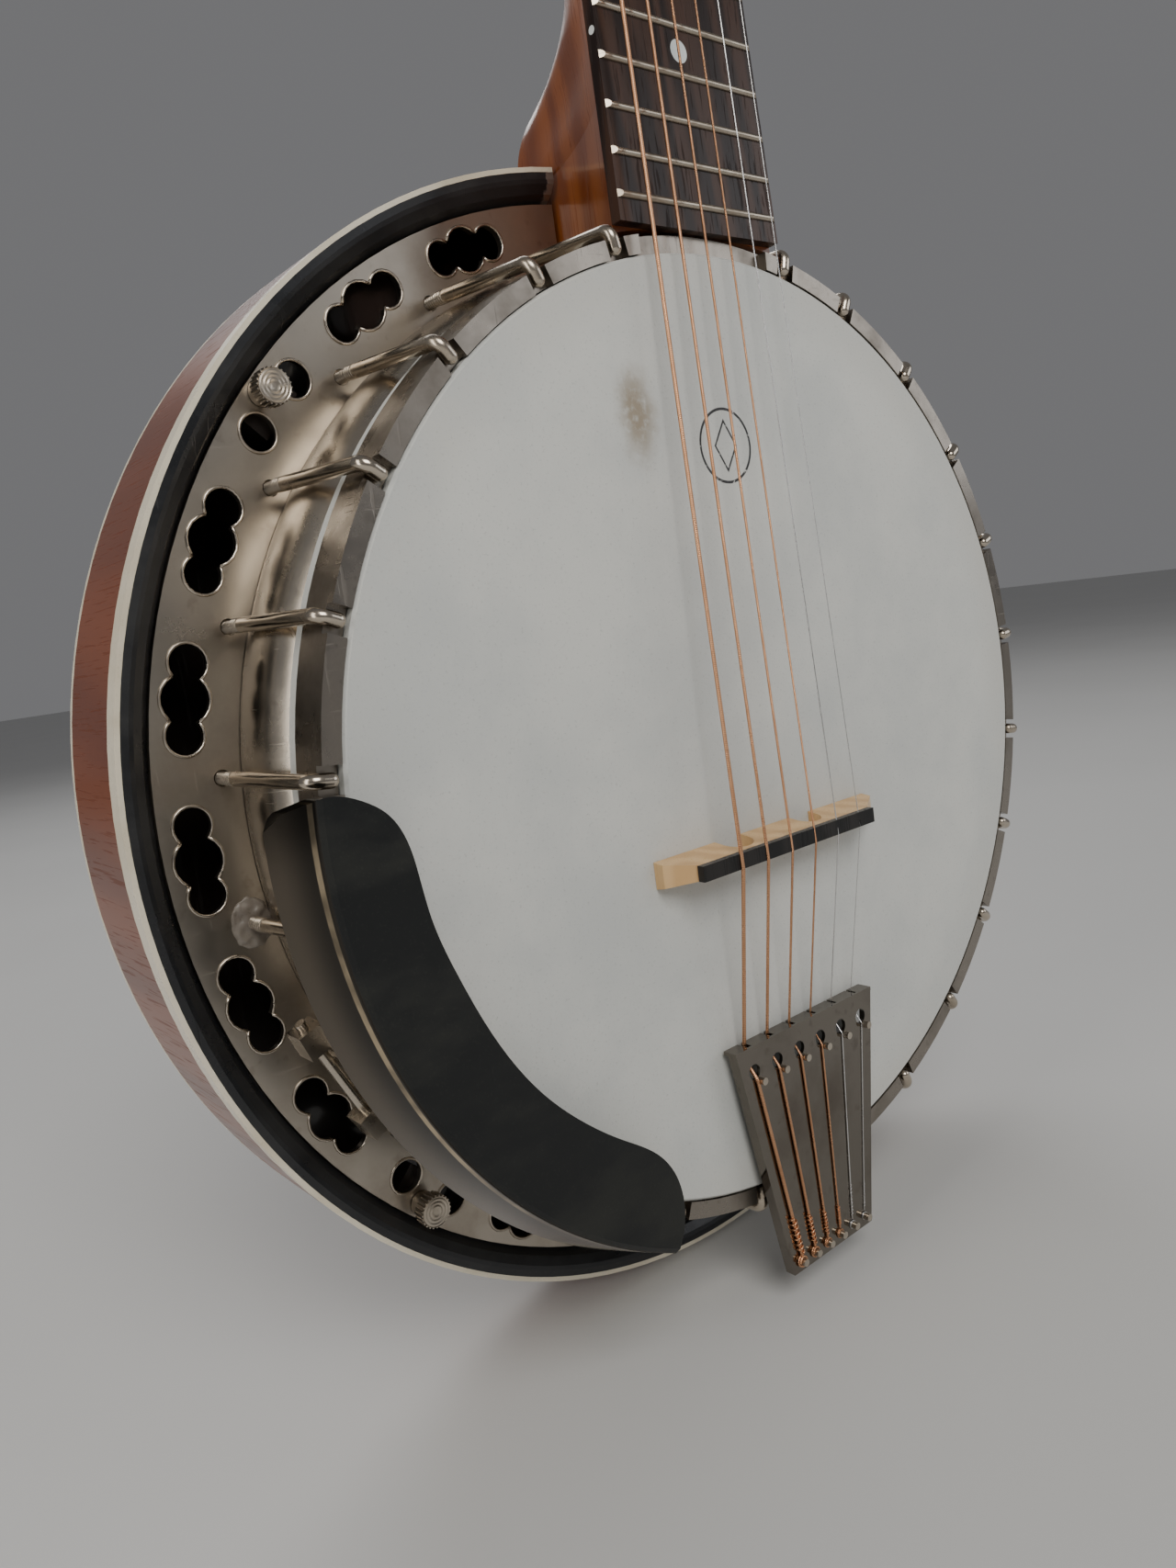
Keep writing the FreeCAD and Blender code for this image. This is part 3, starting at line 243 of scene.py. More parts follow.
# %% Group: tarnish
def make_tarnish():
    tree, given, result = new_group(
        "Tarnish",
        [("Vector", VECTOR, None), ("Clean", COLOR, (0.6, 0.55, 0.48, 1)),
         ("Stain", COLOR, (0.2, 0.15, 0.1, 1)), ("Scale", FLOAT, 1.0), ("Smooth", FLOAT, 0.16),
         ("Rough", FLOAT, 0.42)],
        [("Color", COLOR), ("Roughness", FLOAT), ("Height", FLOAT)])
    scaled = put(tree, "ShaderNodeVectorMath", {"operation": "SCALE"}, Vector=given["Vector"],
                 Scale=given["Scale"]).outputs["Vector"]
    cloud = noise(tree, scaled, 38, 6, 0.62)
    spots = ramp(tree, noise(tree, scaled, 260, 3), 0.58, 0.74)
    one_way = noise(tree, stretched(tree, scaled, (900, 40, 60)), 1.0, 2)
    other_way = noise(tree, stretched(tree, scaled, (55, 60, 1000)), 1.0, 2)
    lines = maths(tree, "MAXIMUM", ramp(tree, one_way, 0.66, 0.72), ramp(tree, other_way, 0.67, 0.73))
    stain = maths(tree, "MULTIPLY", ramp(tree, cloud, 0.45, 0.75), 0.55)
    stain = maths(tree, "MAXIMUM", stain, maths(tree, "MULTIPLY", spots, 0.35))
    tree.links.new(blend_colours(tree, stain, given["Clean"], given["Stain"]), result["Color"])
    span = maths(tree, "SUBTRACT", given["Rough"], given["Smooth"])
    dull = maths(tree, "ADD", ramp(tree, cloud, 0.3, 0.75), maths(tree, "MULTIPLY", lines, 0.35))
    rough = maths(tree, "ADD", given["Smooth"], maths(tree, "MULTIPLY", span, dull))
    tree.links.new(rough, result["Roughness"])
    fine = maths(tree, "MULTIPLY", noise(tree, scaled, 700, 2), 0.12)
    tree.links.new(maths(tree, "SUBTRACT", fine, maths(tree, "MULTIPLY", lines, 0.5)), result["Height"])
    return tree


TARNISH = make_tarnish()

# %% Group: wood figure
def make_figure():
    tree, given, result = new_group(
        "Wood figure",
        [("Vector", VECTOR, None), ("Light", COLOR, (0.4, 0.2, 0.1, 1)),
         ("Dark", COLOR, (0.1, 0.04, 0.02, 1)), ("Bands", FLOAT, 60.0), ("Pores", FLOAT, 900.0)],
        [("Color", COLOR), ("Roughness", FLOAT), ("Height", FLOAT)])
    drawn_out = stretched(tree, given["Vector"], (1.0, 1.0, 0.08))
    wave = put(tree, "ShaderNodeTexWave", {"wave_type": "BANDS", "bands_direction": "DIAGONAL"},
               Vector=drawn_out, Scale=given["Bands"], Distortion=5.0, Detail=3.0,
               Detail_Scale=1.4).outputs["Fac"]
    cloud = noise(tree, drawn_out, 120, 5)
    pore_place = stretched(tree, given["Vector"], (1.0, 1.0, 0.045))
    pores = ramp(tree, noise(tree, pore_place, given["Pores"], 2), 0.57, 0.66)
    share = maths(tree, "ADD", maths(tree, "MULTIPLY", wave, 0.55), maths(tree, "MULTIPLY", cloud, 0.45))
    tone = blend_colours(tree, ramp(tree, share, 0.2, 0.8), given["Dark"], given["Light"])
    tone = blend_colours(tree, maths(tree, "MULTIPLY", pores, 0.6), tone, given["Dark"])
    tree.links.new(tone, result["Color"])
    tree.links.new(maths(tree, "ADD", 0.30, maths(tree, "MULTIPLY", pores, 0.25)), result["Roughness"])
    tree.links.new(maths(tree, "MULTIPLY", pores, -1.0), result["Height"])
    return tree


FIGURE = make_figure()

# %% Group: handling marks
def make_handling():
    tree, given, result = new_group(
        "Handling marks",
        [("Vector", VECTOR, None), ("Color", COLOR, (0.5, 0.5, 0.5, 1)),
         ("Grime", COLOR, (0.1, 0.08, 0.06, 1)), ("Amount", FLOAT, 0.3), ("Smooth", FLOAT, 0.2),
         ("Rough", FLOAT, 0.5)],
        [("Color", COLOR), ("Roughness", FLOAT), ("Height", FLOAT)])
    smear = noise(tree, stretched(tree, given["Vector"], (1.0, 1.0, 2.2)), 26, 5, 0.6)
    dust = ramp(tree, noise(tree, given["Vector"], 1500, 1), 0.62, 0.72)
    hair = ramp(tree, noise(tree, stretched(tree, given["Vector"], (700, 90, 60)), 1.0, 2), 0.68, 0.74)
    share = maths(tree, "MULTIPLY", ramp(tree, smear, 0.42, 0.72), given["Amount"])
    dusty = maths(tree, "MULTIPLY", dust, maths(tree, "MULTIPLY", given["Amount"], 0.4))
    share = maths(tree, "ADD", share, dusty)
    tree.links.new(blend_colours(tree, share, given["Color"], given["Grime"]), result["Color"])
    span = maths(tree, "SUBTRACT", given["Rough"], given["Smooth"])
    mixed = maths(tree, "ADD", ramp(tree, smear, 0.3, 0.7), maths(tree, "MULTIPLY", hair, 0.4))
    rough = maths(tree, "ADD", given["Smooth"], maths(tree, "MULTIPLY", span, mixed))
    tree.links.new(rough, result["Roughness"])
    grain = maths(tree, "MULTIPLY", noise(tree, given["Vector"], 900, 2), 0.3)
    tree.links.new(maths(tree, "SUBTRACT", grain, maths(tree, "MULTIPLY", hair, 0.4)), result["Height"])
    return tree


HANDLING = make_handling()

# %% Group: ridges along an axis
def make_ridges():
    """Even ridges across one axis: the wrap of a string, or a screw thread."""
    tree, given, result = new_group("Ridges", [("Along", FLOAT, 0.0), ("Pitch", FLOAT, 0.001)],
                                    [("Height", FLOAT), ("Valley", FLOAT)])
    turns = maths(tree, "DIVIDE", given["Along"], given["Pitch"])
    wave = maths(tree, "SINE", maths(tree, "MULTIPLY", turns, 2 * math.pi))
    tree.links.new(wave, result["Height"])
    tree.links.new(ramp(tree, wave, -0.2, -0.95), result["Valley"])
    return tree


RIDGES = make_ridges()
print("groups", [group.name for group in bpy.data.node_groups])

# %% [markdown]
# ## Metal finishes
# The fittings are nickel plate that has gone warm and cloudy, so they are a metal with the
# tarnish group on colour, roughness and bump. The same recipe with other numbers gives the
# hoop, nickel too, whose darker colour is a painted dark reflection, the almost black mirror
# of the tailpiece, the frets and the plain strings.

# %% Plated metals
def make_metal(name, clean, stain, smooth, rough, scale=1.0, depth=0.00004):
    material, tree, shader, place = new_material(name)
    marks = use_group(tree, TARNISH, Vector=place, Clean=(*clean, 1), Stain=(*stain, 1), Scale=scale,
                      Smooth=smooth, Rough=rough)
    join(tree, shader, Metallic=1.0, Base_Color=marks["Color"], Roughness=marks["Roughness"])
    join(tree, shader, Normal=bump(tree, marks["Height"], depth, 0.6))
    return material


nickel = make_metal("aged_nickel", (0.52, 0.465, 0.39), (0.25, 0.20, 0.145), 0.19, 0.40, 1.0, 0.00002)
# The hoop is the same nickel given darker colours: a painted dark reflection.
hoop_metal = make_metal("hoop_nickel_painted_dark", (0.29, 0.26, 0.225), (0.10, 0.08, 0.06), 0.20, 0.44)
mirror = make_metal("dark_mirror", (0.20, 0.18, 0.155), (0.09, 0.07, 0.055), 0.06, 0.20, 0.8, 0.00002)
cast_metal = make_metal("cast_ring", (0.50, 0.48, 0.44), (0.22, 0.19, 0.15), 0.35, 0.55)
fret_metal = make_metal("fret_wire", (0.46, 0.40, 0.32), (0.24, 0.18, 0.12), 0.20, 0.40, 1.6)
plain_steel = make_metal("plain_string", (0.66, 0.66, 0.66), (0.30, 0.28, 0.26), 0.16, 0.34, 2.0, 0.00001)
print("metals made")

# %% [markdown]
# ## Flange, hooks and wound strings
# The flange is flat plate that was polished round and round, so its faint lines follow circles
# about the pot's axis. The hooks end in a screw thread, and the four thick strings are wrapped
# in bronze wire. Modelled threads would need thousands of faces, so a bump does them, and their
# grooves are darkened in colour as painted shade.
# Distance from the axis comes back in other finishes too, so it gets a helper of its own.

# %% Flange
def distance_from_axis(tree, place):
    flat = put(tree, "ShaderNodeVectorMath", {"operation": "MULTIPLY"}, _0=place, _1=(1, 0, 1)).outputs[0]
    return put(tree, "ShaderNodeVectorMath", {"operation": "LENGTH"}, _0=flat).outputs["Value"]


def make_flange_metal():
    material, tree, shader, place = new_material("polished_flange")
    marks = use_group(tree, TARNISH, Vector=place, Clean=(0.45, 0.405, 0.345, 1),
                      Stain=(0.24, 0.195, 0.145, 1), Scale=0.7, Smooth=0.27, Rough=0.46)
    rings = put(tree, "ShaderNodeTexNoise", {"noise_dimensions": "1D"}, W=distance_from_axis(tree, place),
                Scale=2600, Detail=3.0)
    height = maths(tree, "ADD", marks["Height"], maths(tree, "MULTIPLY", rings.outputs["Fac"], 0.35))
    join(tree, shader, Metallic=1.0, Base_Color=marks["Color"], Roughness=marks["Roughness"])
    join(tree, shader, Normal=bump(tree, height, 0.000025, 0.5))
    return material


flange_metal = make_flange_metal()
print("flange metal made")

# %% Hooks with threads
THREAD_PITCH = 0.9 * MM
THREAD_SHOWN = 8.0 * MM
FLANGE_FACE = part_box("flange")[0][1]


def make_hook_metal():
    material, tree, shader, place = new_material("threaded_hook")
    marks = use_group(tree, TARNISH, Vector=place, Clean=(0.53, 0.465, 0.38, 1),
                      Stain=(0.25, 0.19, 0.125, 1), Smooth=0.15, Rough=0.34)
    depth = put(tree, "ShaderNodeSeparateXYZ", Vector=place).outputs["Y"]
    thread = use_group(tree, RIDGES, Along=depth, Pitch=THREAD_PITCH)
    start = FLANGE_FACE - THREAD_SHOWN
    where = ramp(tree, depth, start - 0.5 * MM, start + 0.5 * MM)
    cut = maths(tree, "MULTIPLY", thread["Height"], where)
    # The thread's grooves are darkened in colour: painted shade.
    painted_thread_shade = maths(tree, "MULTIPLY", thread["Valley"], maths(tree, "MULTIPLY", where, 0.75))
    colour = blend_colours(tree, painted_thread_shade, marks["Color"], (0.10, 0.075, 0.05, 1))
    join(tree, shader, Metallic=1.0, Base_Color=colour, Roughness=marks["Roughness"])
    smooth = bump(tree, marks["Height"], 0.00003, 0.5)
    threaded = put(tree, "ShaderNodeBump", Height=cut, Strength=1.0, Distance=0.0002, Normal=smooth)
    join(tree, shader, Normal=threaded.outputs["Normal"])
    return material


hook_metal = make_hook_metal()
print("threads show for", round(THREAD_SHOWN / MM, 1), "mm")

# %% Wound strings
WRAP_PITCHES = (0.52 * MM, 0.44 * MM, 0.36 * MM, 0.30 * MM)


def make_wound(name, pitch):
    material, tree, shader, place = new_material(name)
    marks = use_group(tree, TARNISH, Vector=place, Clean=(0.70, 0.38, 0.215, 1),
                      Stain=(0.44, 0.21, 0.11, 1), Scale=2.0, Smooth=0.22, Rough=0.42)
    along = put(tree, "ShaderNodeSeparateXYZ", Vector=place).outputs["Z"]
    wrap = use_group(tree, RIDGES, Along=along, Pitch=pitch)
    shade = maths(tree, "MULTIPLY", wrap["Valley"], 0.35)
    colour = blend_colours(tree, shade, marks["Color"], (0.12, 0.05, 0.03, 1))
    join(tree, shader, Metallic=1.0, Base_Color=colour, Roughness=marks["Roughness"])
    join(tree, shader, Normal=bump(tree, wrap["Height"], 0.00002))
    return material


wound = [make_wound("wound_string_%d" % number, pitch) for number, pitch in enumerate(WRAP_PITCHES, start=1)]
print("wound strings", len(wound))

# %% [markdown]
# ## Woods
# Every wood here uses the figure group, with the grain along the neck. The mahogany wears a
# glossy lacquer, which is a clear coat over the wood: the coat shines while the wood below
# stays satin. The fingerboard has no lacquer, so its open pores show as short dark lines.

# %% Woods
LACQUER_ROUGHNESS = 0.09


def make_wood(name, light, dark, bands, pores, gloss, depth=0.00005, shine=0.5):
    material, tree, shader, place = new_material(name)
    wood = use_group(tree, FIGURE, Vector=place, Light=(*light, 1), Dark=(*dark, 1), Bands=bands,
                     Pores=pores)
    join(tree, shader, Base_Color=wood["Color"], Roughness=wood["Roughness"], Specular_IOR_Level=shine)
    join(tree, shader, Coat_Weight=gloss, Coat_Roughness=LACQUER_ROUGHNESS)
    join(tree, shader, Normal=bump(tree, wood["Height"], depth, 0.6))
    return material


mahogany = make_wood("lacquered_mahogany", (0.290, 0.082, 0.017), (0.180, 0.044, 0.010), 26, 900, 0.35,
                     0.00002, 0.3)
rosewood = make_wood("oiled_rosewood", (0.050, 0.024, 0.015), (0.014, 0.0075, 0.006), 60, 1300, 0.0,
                     0.00006, 0.25)
ebony = make_wood("polished_ebony", (0.016, 0.014, 0.013), (0.005, 0.005, 0.005), 40, 1200, 0.05,
                  0.00005, 0.3)
maple = make_wood("pale_maple", (0.72, 0.48, 0.235), (0.60, 0.37, 0.165), 55, 1500, 0.1)
rim_maple = make_wood("rim_maple", (0.62, 0.42, 0.22), (0.36, 0.20, 0.09), 45, 1100, 0.2)
print("woods made")

# %% [markdown]
# ## The back with its rings
# Instrument makers let thin rings of pale wood into the back. They could be separate rings, but
# they are flush, so a mask by distance from the axis draws them into the wood's own colour.
# The wall is the neck's mahogany with its grain running round, and both it and the back are given
# darker colours than the neck: painted shade. Inside, both are painted near black, which is
# painted shade for the dark that shows through the sound holes.

# %% Wall and back of the resonator
# Near black for the inner faces: painted shade.
PAINTED_SHADE_INSIDE = (0.012, 0.008, 0.006, 1)
INLAY = (0.62, 0.50, 0.32, 1)
INNER_RING = 112 * MM
OUTER_RING = 148 * MM
WALL_SKIN = 176 * MM


def ring_mask(tree, distance, radius, half_width):
    away = maths(tree, "ABSOLUTE", maths(tree, "SUBTRACT", distance, radius))
    return ramp(tree, away, half_width + 0.0001, half_width)


def make_wall_wood():
    """Lacquered outside, and painted near black on the inner face and the blocks as painted shade."""
    material, tree, shader, place = new_material("resonator_wall")
    turned = put(tree, "ShaderNodeMapping", Vector=place, Rotation=(math.pi / 2, 0, 0)).outputs["Vector"]
    # The wall's colours are the neck's mahogany made darker: painted shade.
    wood = use_group(tree, FIGURE, Vector=turned, Light=(0.205, 0.050, 0.013, 1),
                     Dark=(0.140, 0.032, 0.008, 1), Bands=18.0, Pores=1400.0)
    outside = ramp(tree, distance_from_axis(tree, place), WALL_SKIN - 0.5 * MM, WALL_SKIN + 0.5 * MM)
    # Inside the skin the wood is painted near black: painted shade.
    colour = blend_colours(tree, outside, PAINTED_SHADE_INSIDE, wood["Color"])
    join(tree, shader, Base_Color=colour, Roughness=wood["Roughness"], Coat_Roughness=LACQUER_ROUGHNESS)
    join(tree, shader, Coat_Weight=maths(tree, "MULTIPLY", outside, 0.35), Specular_IOR_Level=0.3)
    join(tree, shader, Normal=bump(tree, wood["Height"], 0.00002, 0.6))
    return material


def two_rings(tree, out, inner_half, outer_half):
    """The inner and the outer ring of the back, each of a half width."""
    inner = ring_mask(tree, out, INNER_RING, inner_half)
    return maths(tree, "MAXIMUM", inner, ring_mask(tree, out, OUTER_RING, outer_half))


def make_back_wood():
    material, tree, shader, place = new_material("inlaid_back")
    # The back's colours are also the mahogany made darker: painted shade.
    wood = use_group(tree, FIGURE, Vector=place, Light=(0.235, 0.066, 0.021, 1),
                     Dark=(0.140, 0.035, 0.011, 1), Bands=30.0, Pores=900.0)
    out = distance_from_axis(tree, place)
    pale = two_rings(tree, out, 0.9 * MM, 0.6 * MM)
    dark = two_rings(tree, out, 2.1 * MM, 1.4 * MM)
    colour = blend_colours(tree, dark, wood["Color"], (0.012, 0.009, 0.008, 1))
    colour = blend_colours(tree, pale, colour, INLAY)
    depth = put(tree, "ShaderNodeSeparateXYZ", Vector=place).outputs["Y"]
    inside = ramp(tree, depth, -4.0 * MM, -4.5 * MM)
    # The inner face of the back is painted near black: painted shade.
    colour = blend_colours(tree, inside, colour, PAINTED_SHADE_INSIDE)
    join(tree, shader, Base_Color=colour, Roughness=wood["Roughness"])
    join(tree, shader, Coat_Weight=0.75, Coat_Roughness=LACQUER_ROUGHNESS)
    join(tree, shader, Normal=bump(tree, wood["Height"], 0.00002, 0.6))
    return material


back_wood = make_back_wood()
wall_wood = make_wall_wood()
print("resonator woods made")

# %% [markdown]
# ## The head
# The head is clear film sprayed with a rough white coat, which takes banjo skin's place. It is
# matt, a little cloudy and finely speckled, with a brown patch where a finger has rested and a
# small printed mark. The mark here is a plain ring round a diamond, built from distances.

# %% Head
SMUDGE = (-34.7 * MM, 95.0 * MM)
MARK = (-1.0 * MM, 86.5 * MM)
MARK_RADIUS = 10.5 * MM


def shifted(tree, place, centre):
    node = put(tree, "ShaderNodeMapping", Vector=place, Location=(-centre[0], 0, -centre[1]))
    return node.outputs["Vector"]


def printed_mark(tree, place, centre):
    """A thin ring, with a small diamond inside it."""
    local = shifted(tree, place, centre)
    parts = put(tree, "ShaderNodeSeparateXYZ", Vector=local).outputs
    ring = ring_mask(tree, distance_from_axis(tree, local), MARK_RADIUS, 0.35 * MM)
    across = maths(tree, "ABSOLUTE", parts["X"])
    up = maths(tree, "MULTIPLY", maths(tree, "ABSOLUTE", parts["Z"]), 0.62)
    size = maths(tree, "ADD", across, up)
    edge = maths(tree, "ABSOLUTE", maths(tree, "SUBTRACT", size, 4.4 * MM))
    return maths(tree, "MAXIMUM", ring, ramp(tree, edge, 0.45 * MM, 0.3 * MM))


def finger_patch(tree, place, centre):
    local = stretched(tree, shifted(tree, place, centre), (1.0, 0.0, 0.55))
    away = put(tree, "ShaderNodeVectorMath", {"operation": "LENGTH"}, _0=local).outputs["Value"]
    broken = maths(tree, "ADD", away, maths(tree, "MULTIPLY", noise(tree, place, 140, 4), 0.006))
    return ramp(tree, broken, 12.5 * MM, 4.5 * MM)


def make_head_film():
    material, tree, shader, place = new_material("frosted_head")
    cloud = noise(tree, place, 22, 5, 0.6)
    speck = noise(tree, place, 1150, 3, 0.7)
    white = blend_colours(tree, ramp(tree, cloud, 0.3, 0.7), (0.55, 0.565, 0.545, 1), (0.64, 0.645, 0.61, 1))
    white = blend_colours(tree, ramp(tree, speck, 0.58, 0.72, 0.0, 0.45), white, (0.36, 0.37, 0.35, 1))
    out = distance_from_axis(tree, place)
    rim = maths(tree, "MULTIPLY", ramp(tree, out, 120 * MM, 140 * MM),
                ramp(tree, cloud, 0.35, 0.7, 0.1, 0.45))
    white = blend_colours(tree, rim, white, (0.50, 0.48, 0.43, 1))
    patchy = ramp(tree, noise(tree, place, 420, 4), 0.15, 0.55)
    patch = maths(tree, "MULTIPLY", finger_patch(tree, place, SMUDGE), patchy)
    white = blend_colours(tree, maths(tree, "MULTIPLY", patch, 0.75), white, (0.24, 0.17, 0.085, 1))
    worn = ramp(tree, noise(tree, place, 700, 2), 0.25, 0.4)
    mark = maths(tree, "MULTIPLY", printed_mark(tree, place, MARK), worn)
    white = blend_colours(tree, mark, white, (0.03, 0.03, 0.032, 1))
    join(tree, shader, Base_Color=white, Roughness=ramp(tree, speck, 0.3, 0.8, 0.52, 0.8))
    join(tree, shader, Normal=bump(tree, speck, 0.00012, 0.55))
    return material


head_film = make_head_film()
print("head film made")

# %% [markdown]
# ## Plastic, bone and pearl
# These are not metals: they shine because they are smooth. The handling group varies that shine,
# because nothing that is played stays evenly smooth.

# %% Smooth finishes
def make_smooth(name, colour, grime, amount, smooth, rough, coat=0.0, depth=0.00003):
    material, tree, shader, place = new_material(name)
    marks = use_group(tree, HANDLING, Vector=place, Color=(*colour, 1), Grime=(*grime, 1), Amount=amount,
                      Smooth=smooth, Rough=rough)
    join(tree, shader, Base_Color=marks["Color"], Roughness=marks["Roughness"])
    join(tree, shader, Coat_Weight=coat, Coat_Roughness=0.12)
    join(tree, shader, Normal=bump(tree, marks["Height"], depth, 0.5))
    return material


cream = make_smooth("cream_binding", (0.80, 0.735, 0.585), (0.42, 0.33, 0.20), 0.30, 0.20, 0.40, 0.15)
bone = make_smooth("bone_nut", (0.80, 0.75, 0.62), (0.45, 0.34, 0.20), 0.35, 0.25, 0.45)
black_plastic = make_smooth("black_plastic", (0.014, 0.014, 0.015), (0.06, 0.055, 0.05), 0.30, 0.16, 0.42)
residue = make_smooth("old_glue", (0.20, 0.175, 0.145), (0.09, 0.072, 0.055), 0.8, 0.30, 0.55, 0.2, 0.0002)
pearl = make_smooth("pearl_dot", (0.72, 0.75, 0.73), (0.50, 0.58, 0.60), 0.8, 0.12, 0.25, 0.5)
print("smooth finishes made")

# %% [markdown]
# ## The armrest
# The armrest is one bent plate. Its top is satin enamel, and the skirt outside the bend is
# polished dark metal. A thin bright line along the bend and a band that grows lighter away from
# it are painted reflection, standing in for the reflection of a rounded bend. The plate follows
# circles about an axis of its own, a little to one side of the pot's, so the distance from that
# axis says where the bend is.

# %% Armrest: satin top, polished skirt
ARM_TURN = math.radians(-92)
ARM_SHIFT = 8.5 * MM
ARM_AXIS = (ARM_SHIFT * math.sin(ARM_TURN), ARM_SHIFT * math.cos(ARM_TURN))
ARM_BEND = 145.7 * MM


def make_armrest_finish():
    """Satin enamel inside the bend, and a smooth dark metal skirt outside it with painted reflection bands.
    """
    material, tree, shader, place = new_material("black_armrest")
    marks = use_group(tree, HANDLING, Vector=place, Color=(0.0085, 0.0095, 0.0098, 1), Amount=0.5,
                      Grime=(0.030, 0.031, 0.026, 1), Smooth=0.30, Rough=0.52)
    out = distance_from_axis(tree, shifted(tree, place, ARM_AXIS))
    skirt = ramp(tree, out, ARM_BEND - 0.4 * MM, ARM_BEND + 0.3 * MM)
    # A thin, broken bright line just outside the bend: painted highlight.
    painted_bend_highlight = maths(tree, "MULTIPLY", ring_mask(tree, out, ARM_BEND + 0.7 * MM, 0.2 * MM),
                 ramp(tree, noise(tree, place, 60, 3), 0.35, 0.6, 0.3, 1.0))
    # The skirt's colour grows from dark near the bend to lighter further out: painted reflection.
    skirt_painted_reflection = blend_colours(tree, ramp(tree, out, ARM_BEND + 1.0 * MM, ARM_BEND + 4.5 * MM),
                             (0.045, 0.040, 0.034, 1), (0.125, 0.105, 0.082, 1))
    skirt_painted_reflection = blend_colours(tree, painted_bend_highlight, skirt_painted_reflection, (0.52, 0.42, 0.28, 1))
    colour = blend_colours(tree, skirt, marks["Color"], skirt_painted_reflection)
    rough = maths(tree, "MULTIPLY", marks["Roughness"], ramp(tree, skirt, 0.0, 1.0, 1.0, 0.28))
    join(tree, shader, Base_Color=colour, Metallic=skirt, Roughness=rough, Specular_IOR_Level=0.28)
    join(tree, shader, Normal=bump(tree, marks["Height"], 0.00003, 0.5))
    return material


enamel = make_armrest_finish()
print("armrest bends at", round(ARM_BEND / MM, 1), "mm from its axis")

# %% [markdown]
# ## The black edge
# The front edge of the resonator is lacquered black. Beside the heel it has lost its lacquer, so
# a ragged mask near the gap lets bare silver through. Noise added to the distance from the gap
# makes the mask's border ragged.

# %% Black edge with worn ends
HEEL_GAP = 17.5 * MM
TOP_ONLY = 100 * MM


def make_black_edge():
    material, tree, shader, place = new_material("worn_black_edge")
    marks = use_group(tree, HANDLING, Vector=place, Color=(0.012, 0.013, 0.015, 1),
                      Grime=(0.05, 0.05, 0.05, 1), Amount=0.35, Smooth=0.22, Rough=0.48)
    parts = put(tree, "ShaderNodeSeparateXYZ", Vector=place).outputs
    aside = maths(tree, "ABSOLUTE", parts["X"])
    ragged = maths(tree, "ADD", aside, maths(tree, "MULTIPLY", noise(tree, place, 420, 4), 0.006))
    worn = maths(tree, "MULTIPLY", ramp(tree, ragged, HEEL_GAP + 5.8 * MM, HEEL_GAP + 4.4 * MM),
                 ramp(tree, parts["Z"], TOP_ONLY, TOP_ONLY + 10 * MM))
    colour = blend_colours(tree, worn, marks["Color"], (0.36, 0.34, 0.31, 1))
    join(tree, shader, Base_Color=colour, Roughness=marks["Roughness"])
    join(tree, shader, Metallic=maths(tree, "MULTIPLY", worn, 0.8))
    height = maths(tree, "SUBTRACT", marks["Height"], worn)
    join(tree, shader, Normal=bump(tree, height, 0.00015, 0.6))
    return material


black_edge = make_black_edge()
print("black edge made")

# %% [markdown]
# ## Giving the CAD parts their finishes
# The record says which kind of surface each CAD part has. A short table turns that name into
# one of the materials above, and a second table names the parts that have a finish of their own.

# %% Assign
BY_SLOT = {
    "head": head_film, "nickel": nickel, "wood_rim": rim_maple, "cast_metal": cast_metal,
    "mahogany": mahogany, "black_edge": black_edge, "cream": cream, "rosewood": rosewood,
    "fret": fret_metal, "pearl": pearl, "bone": bone, "bronze": wound[0], "steel": plain_steel,
    "maple": maple, "ebony": ebony, "dark_chrome": mirror, "black_metal": enamel,
    "black_plastic": black_plastic,
}
BY_NODE = {
    "tension_hoop": hoop_metal, "flange": flange_metal, "bracket_hooks": hook_metal,
    "resonator_back": back_wood, "resonator_side": wall_wood, "resonator_lugs": wall_wood,
    "string_2": wound[1], "string_3": wound[2], "string_4": wound[3],
}


def dress(item, material):
    item.data.materials.clear()
    item.data.materials.append(material)


for part in frame["record"]["subparts"]:
    name = part["node"]
    dress(frame["nodes"][name], BY_NODE.get(name, BY_SLOT[part["material_slot"]]))

# %% [markdown]
# ## Tools for new pieces
# New pieces are modelled as by hand: a primitive is added, shaped in edit mode or with
# modifiers, and applied. `settle` then writes the object's place into its mesh, so that it sits
# at the origin like the CAD parts, and lets it ride on the body that it belongs to.

# %% Modelling helpers
def select_only(item):
    deselect()
    item.select_set(True)
    bpy.context.view_layer.objects.active = item


def apply_modifier(item, kind, **settings):
    select_only(item)
    modifier = item.modifiers.new(kind.lower(), kind)
    for name, value in settings.items():
        setattr(modifier, name, value)
    bpy.ops.object.modifier_apply(modifier=modifier.name)


def settle(item, name, body, material):
    select_only(item)
    bpy.ops.object.transform_apply(location=True, rotation=True, scale=True)
    item.name = name
    item.data.name = name
    dress(item, material)
    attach(item, body)
    return item


def copy_of(item):
    twin = item.copy()
    twin.data = item.data.copy()
    bpy.context.collection.objects.link(twin)
    return twin


# %% [markdown]
# ## Coils
# A string is wound round its post, doubled back round itself above its pin, and looped round
# the pin. All three are coils. A small circle is the wire's section; the Screw modifier carries
# it round an axis while it climbs, and the two open ends are then filled.

# %% Coil
SECTION = 8
STEPS_PER_TURN = 20


def close_end(item, first):
    """Fill an open end, whose points follow each other from a given one."""
    bpy.ops.object.mode_set(mode="EDIT")
    bpy.ops.mesh.select_mode(type="VERT")
    bpy.ops.mesh.select_all(action="DESELECT")
    bpy.ops.object.mode_set(mode="OBJECT")
    for vertex in item.data.vertices[first:first + SECTION]:
        vertex.select = True
    bpy.ops.object.mode_set(mode="EDIT")
    bpy.ops.mesh.edge_face_add()
    bpy.ops.object.mode_set(mode="OBJECT")


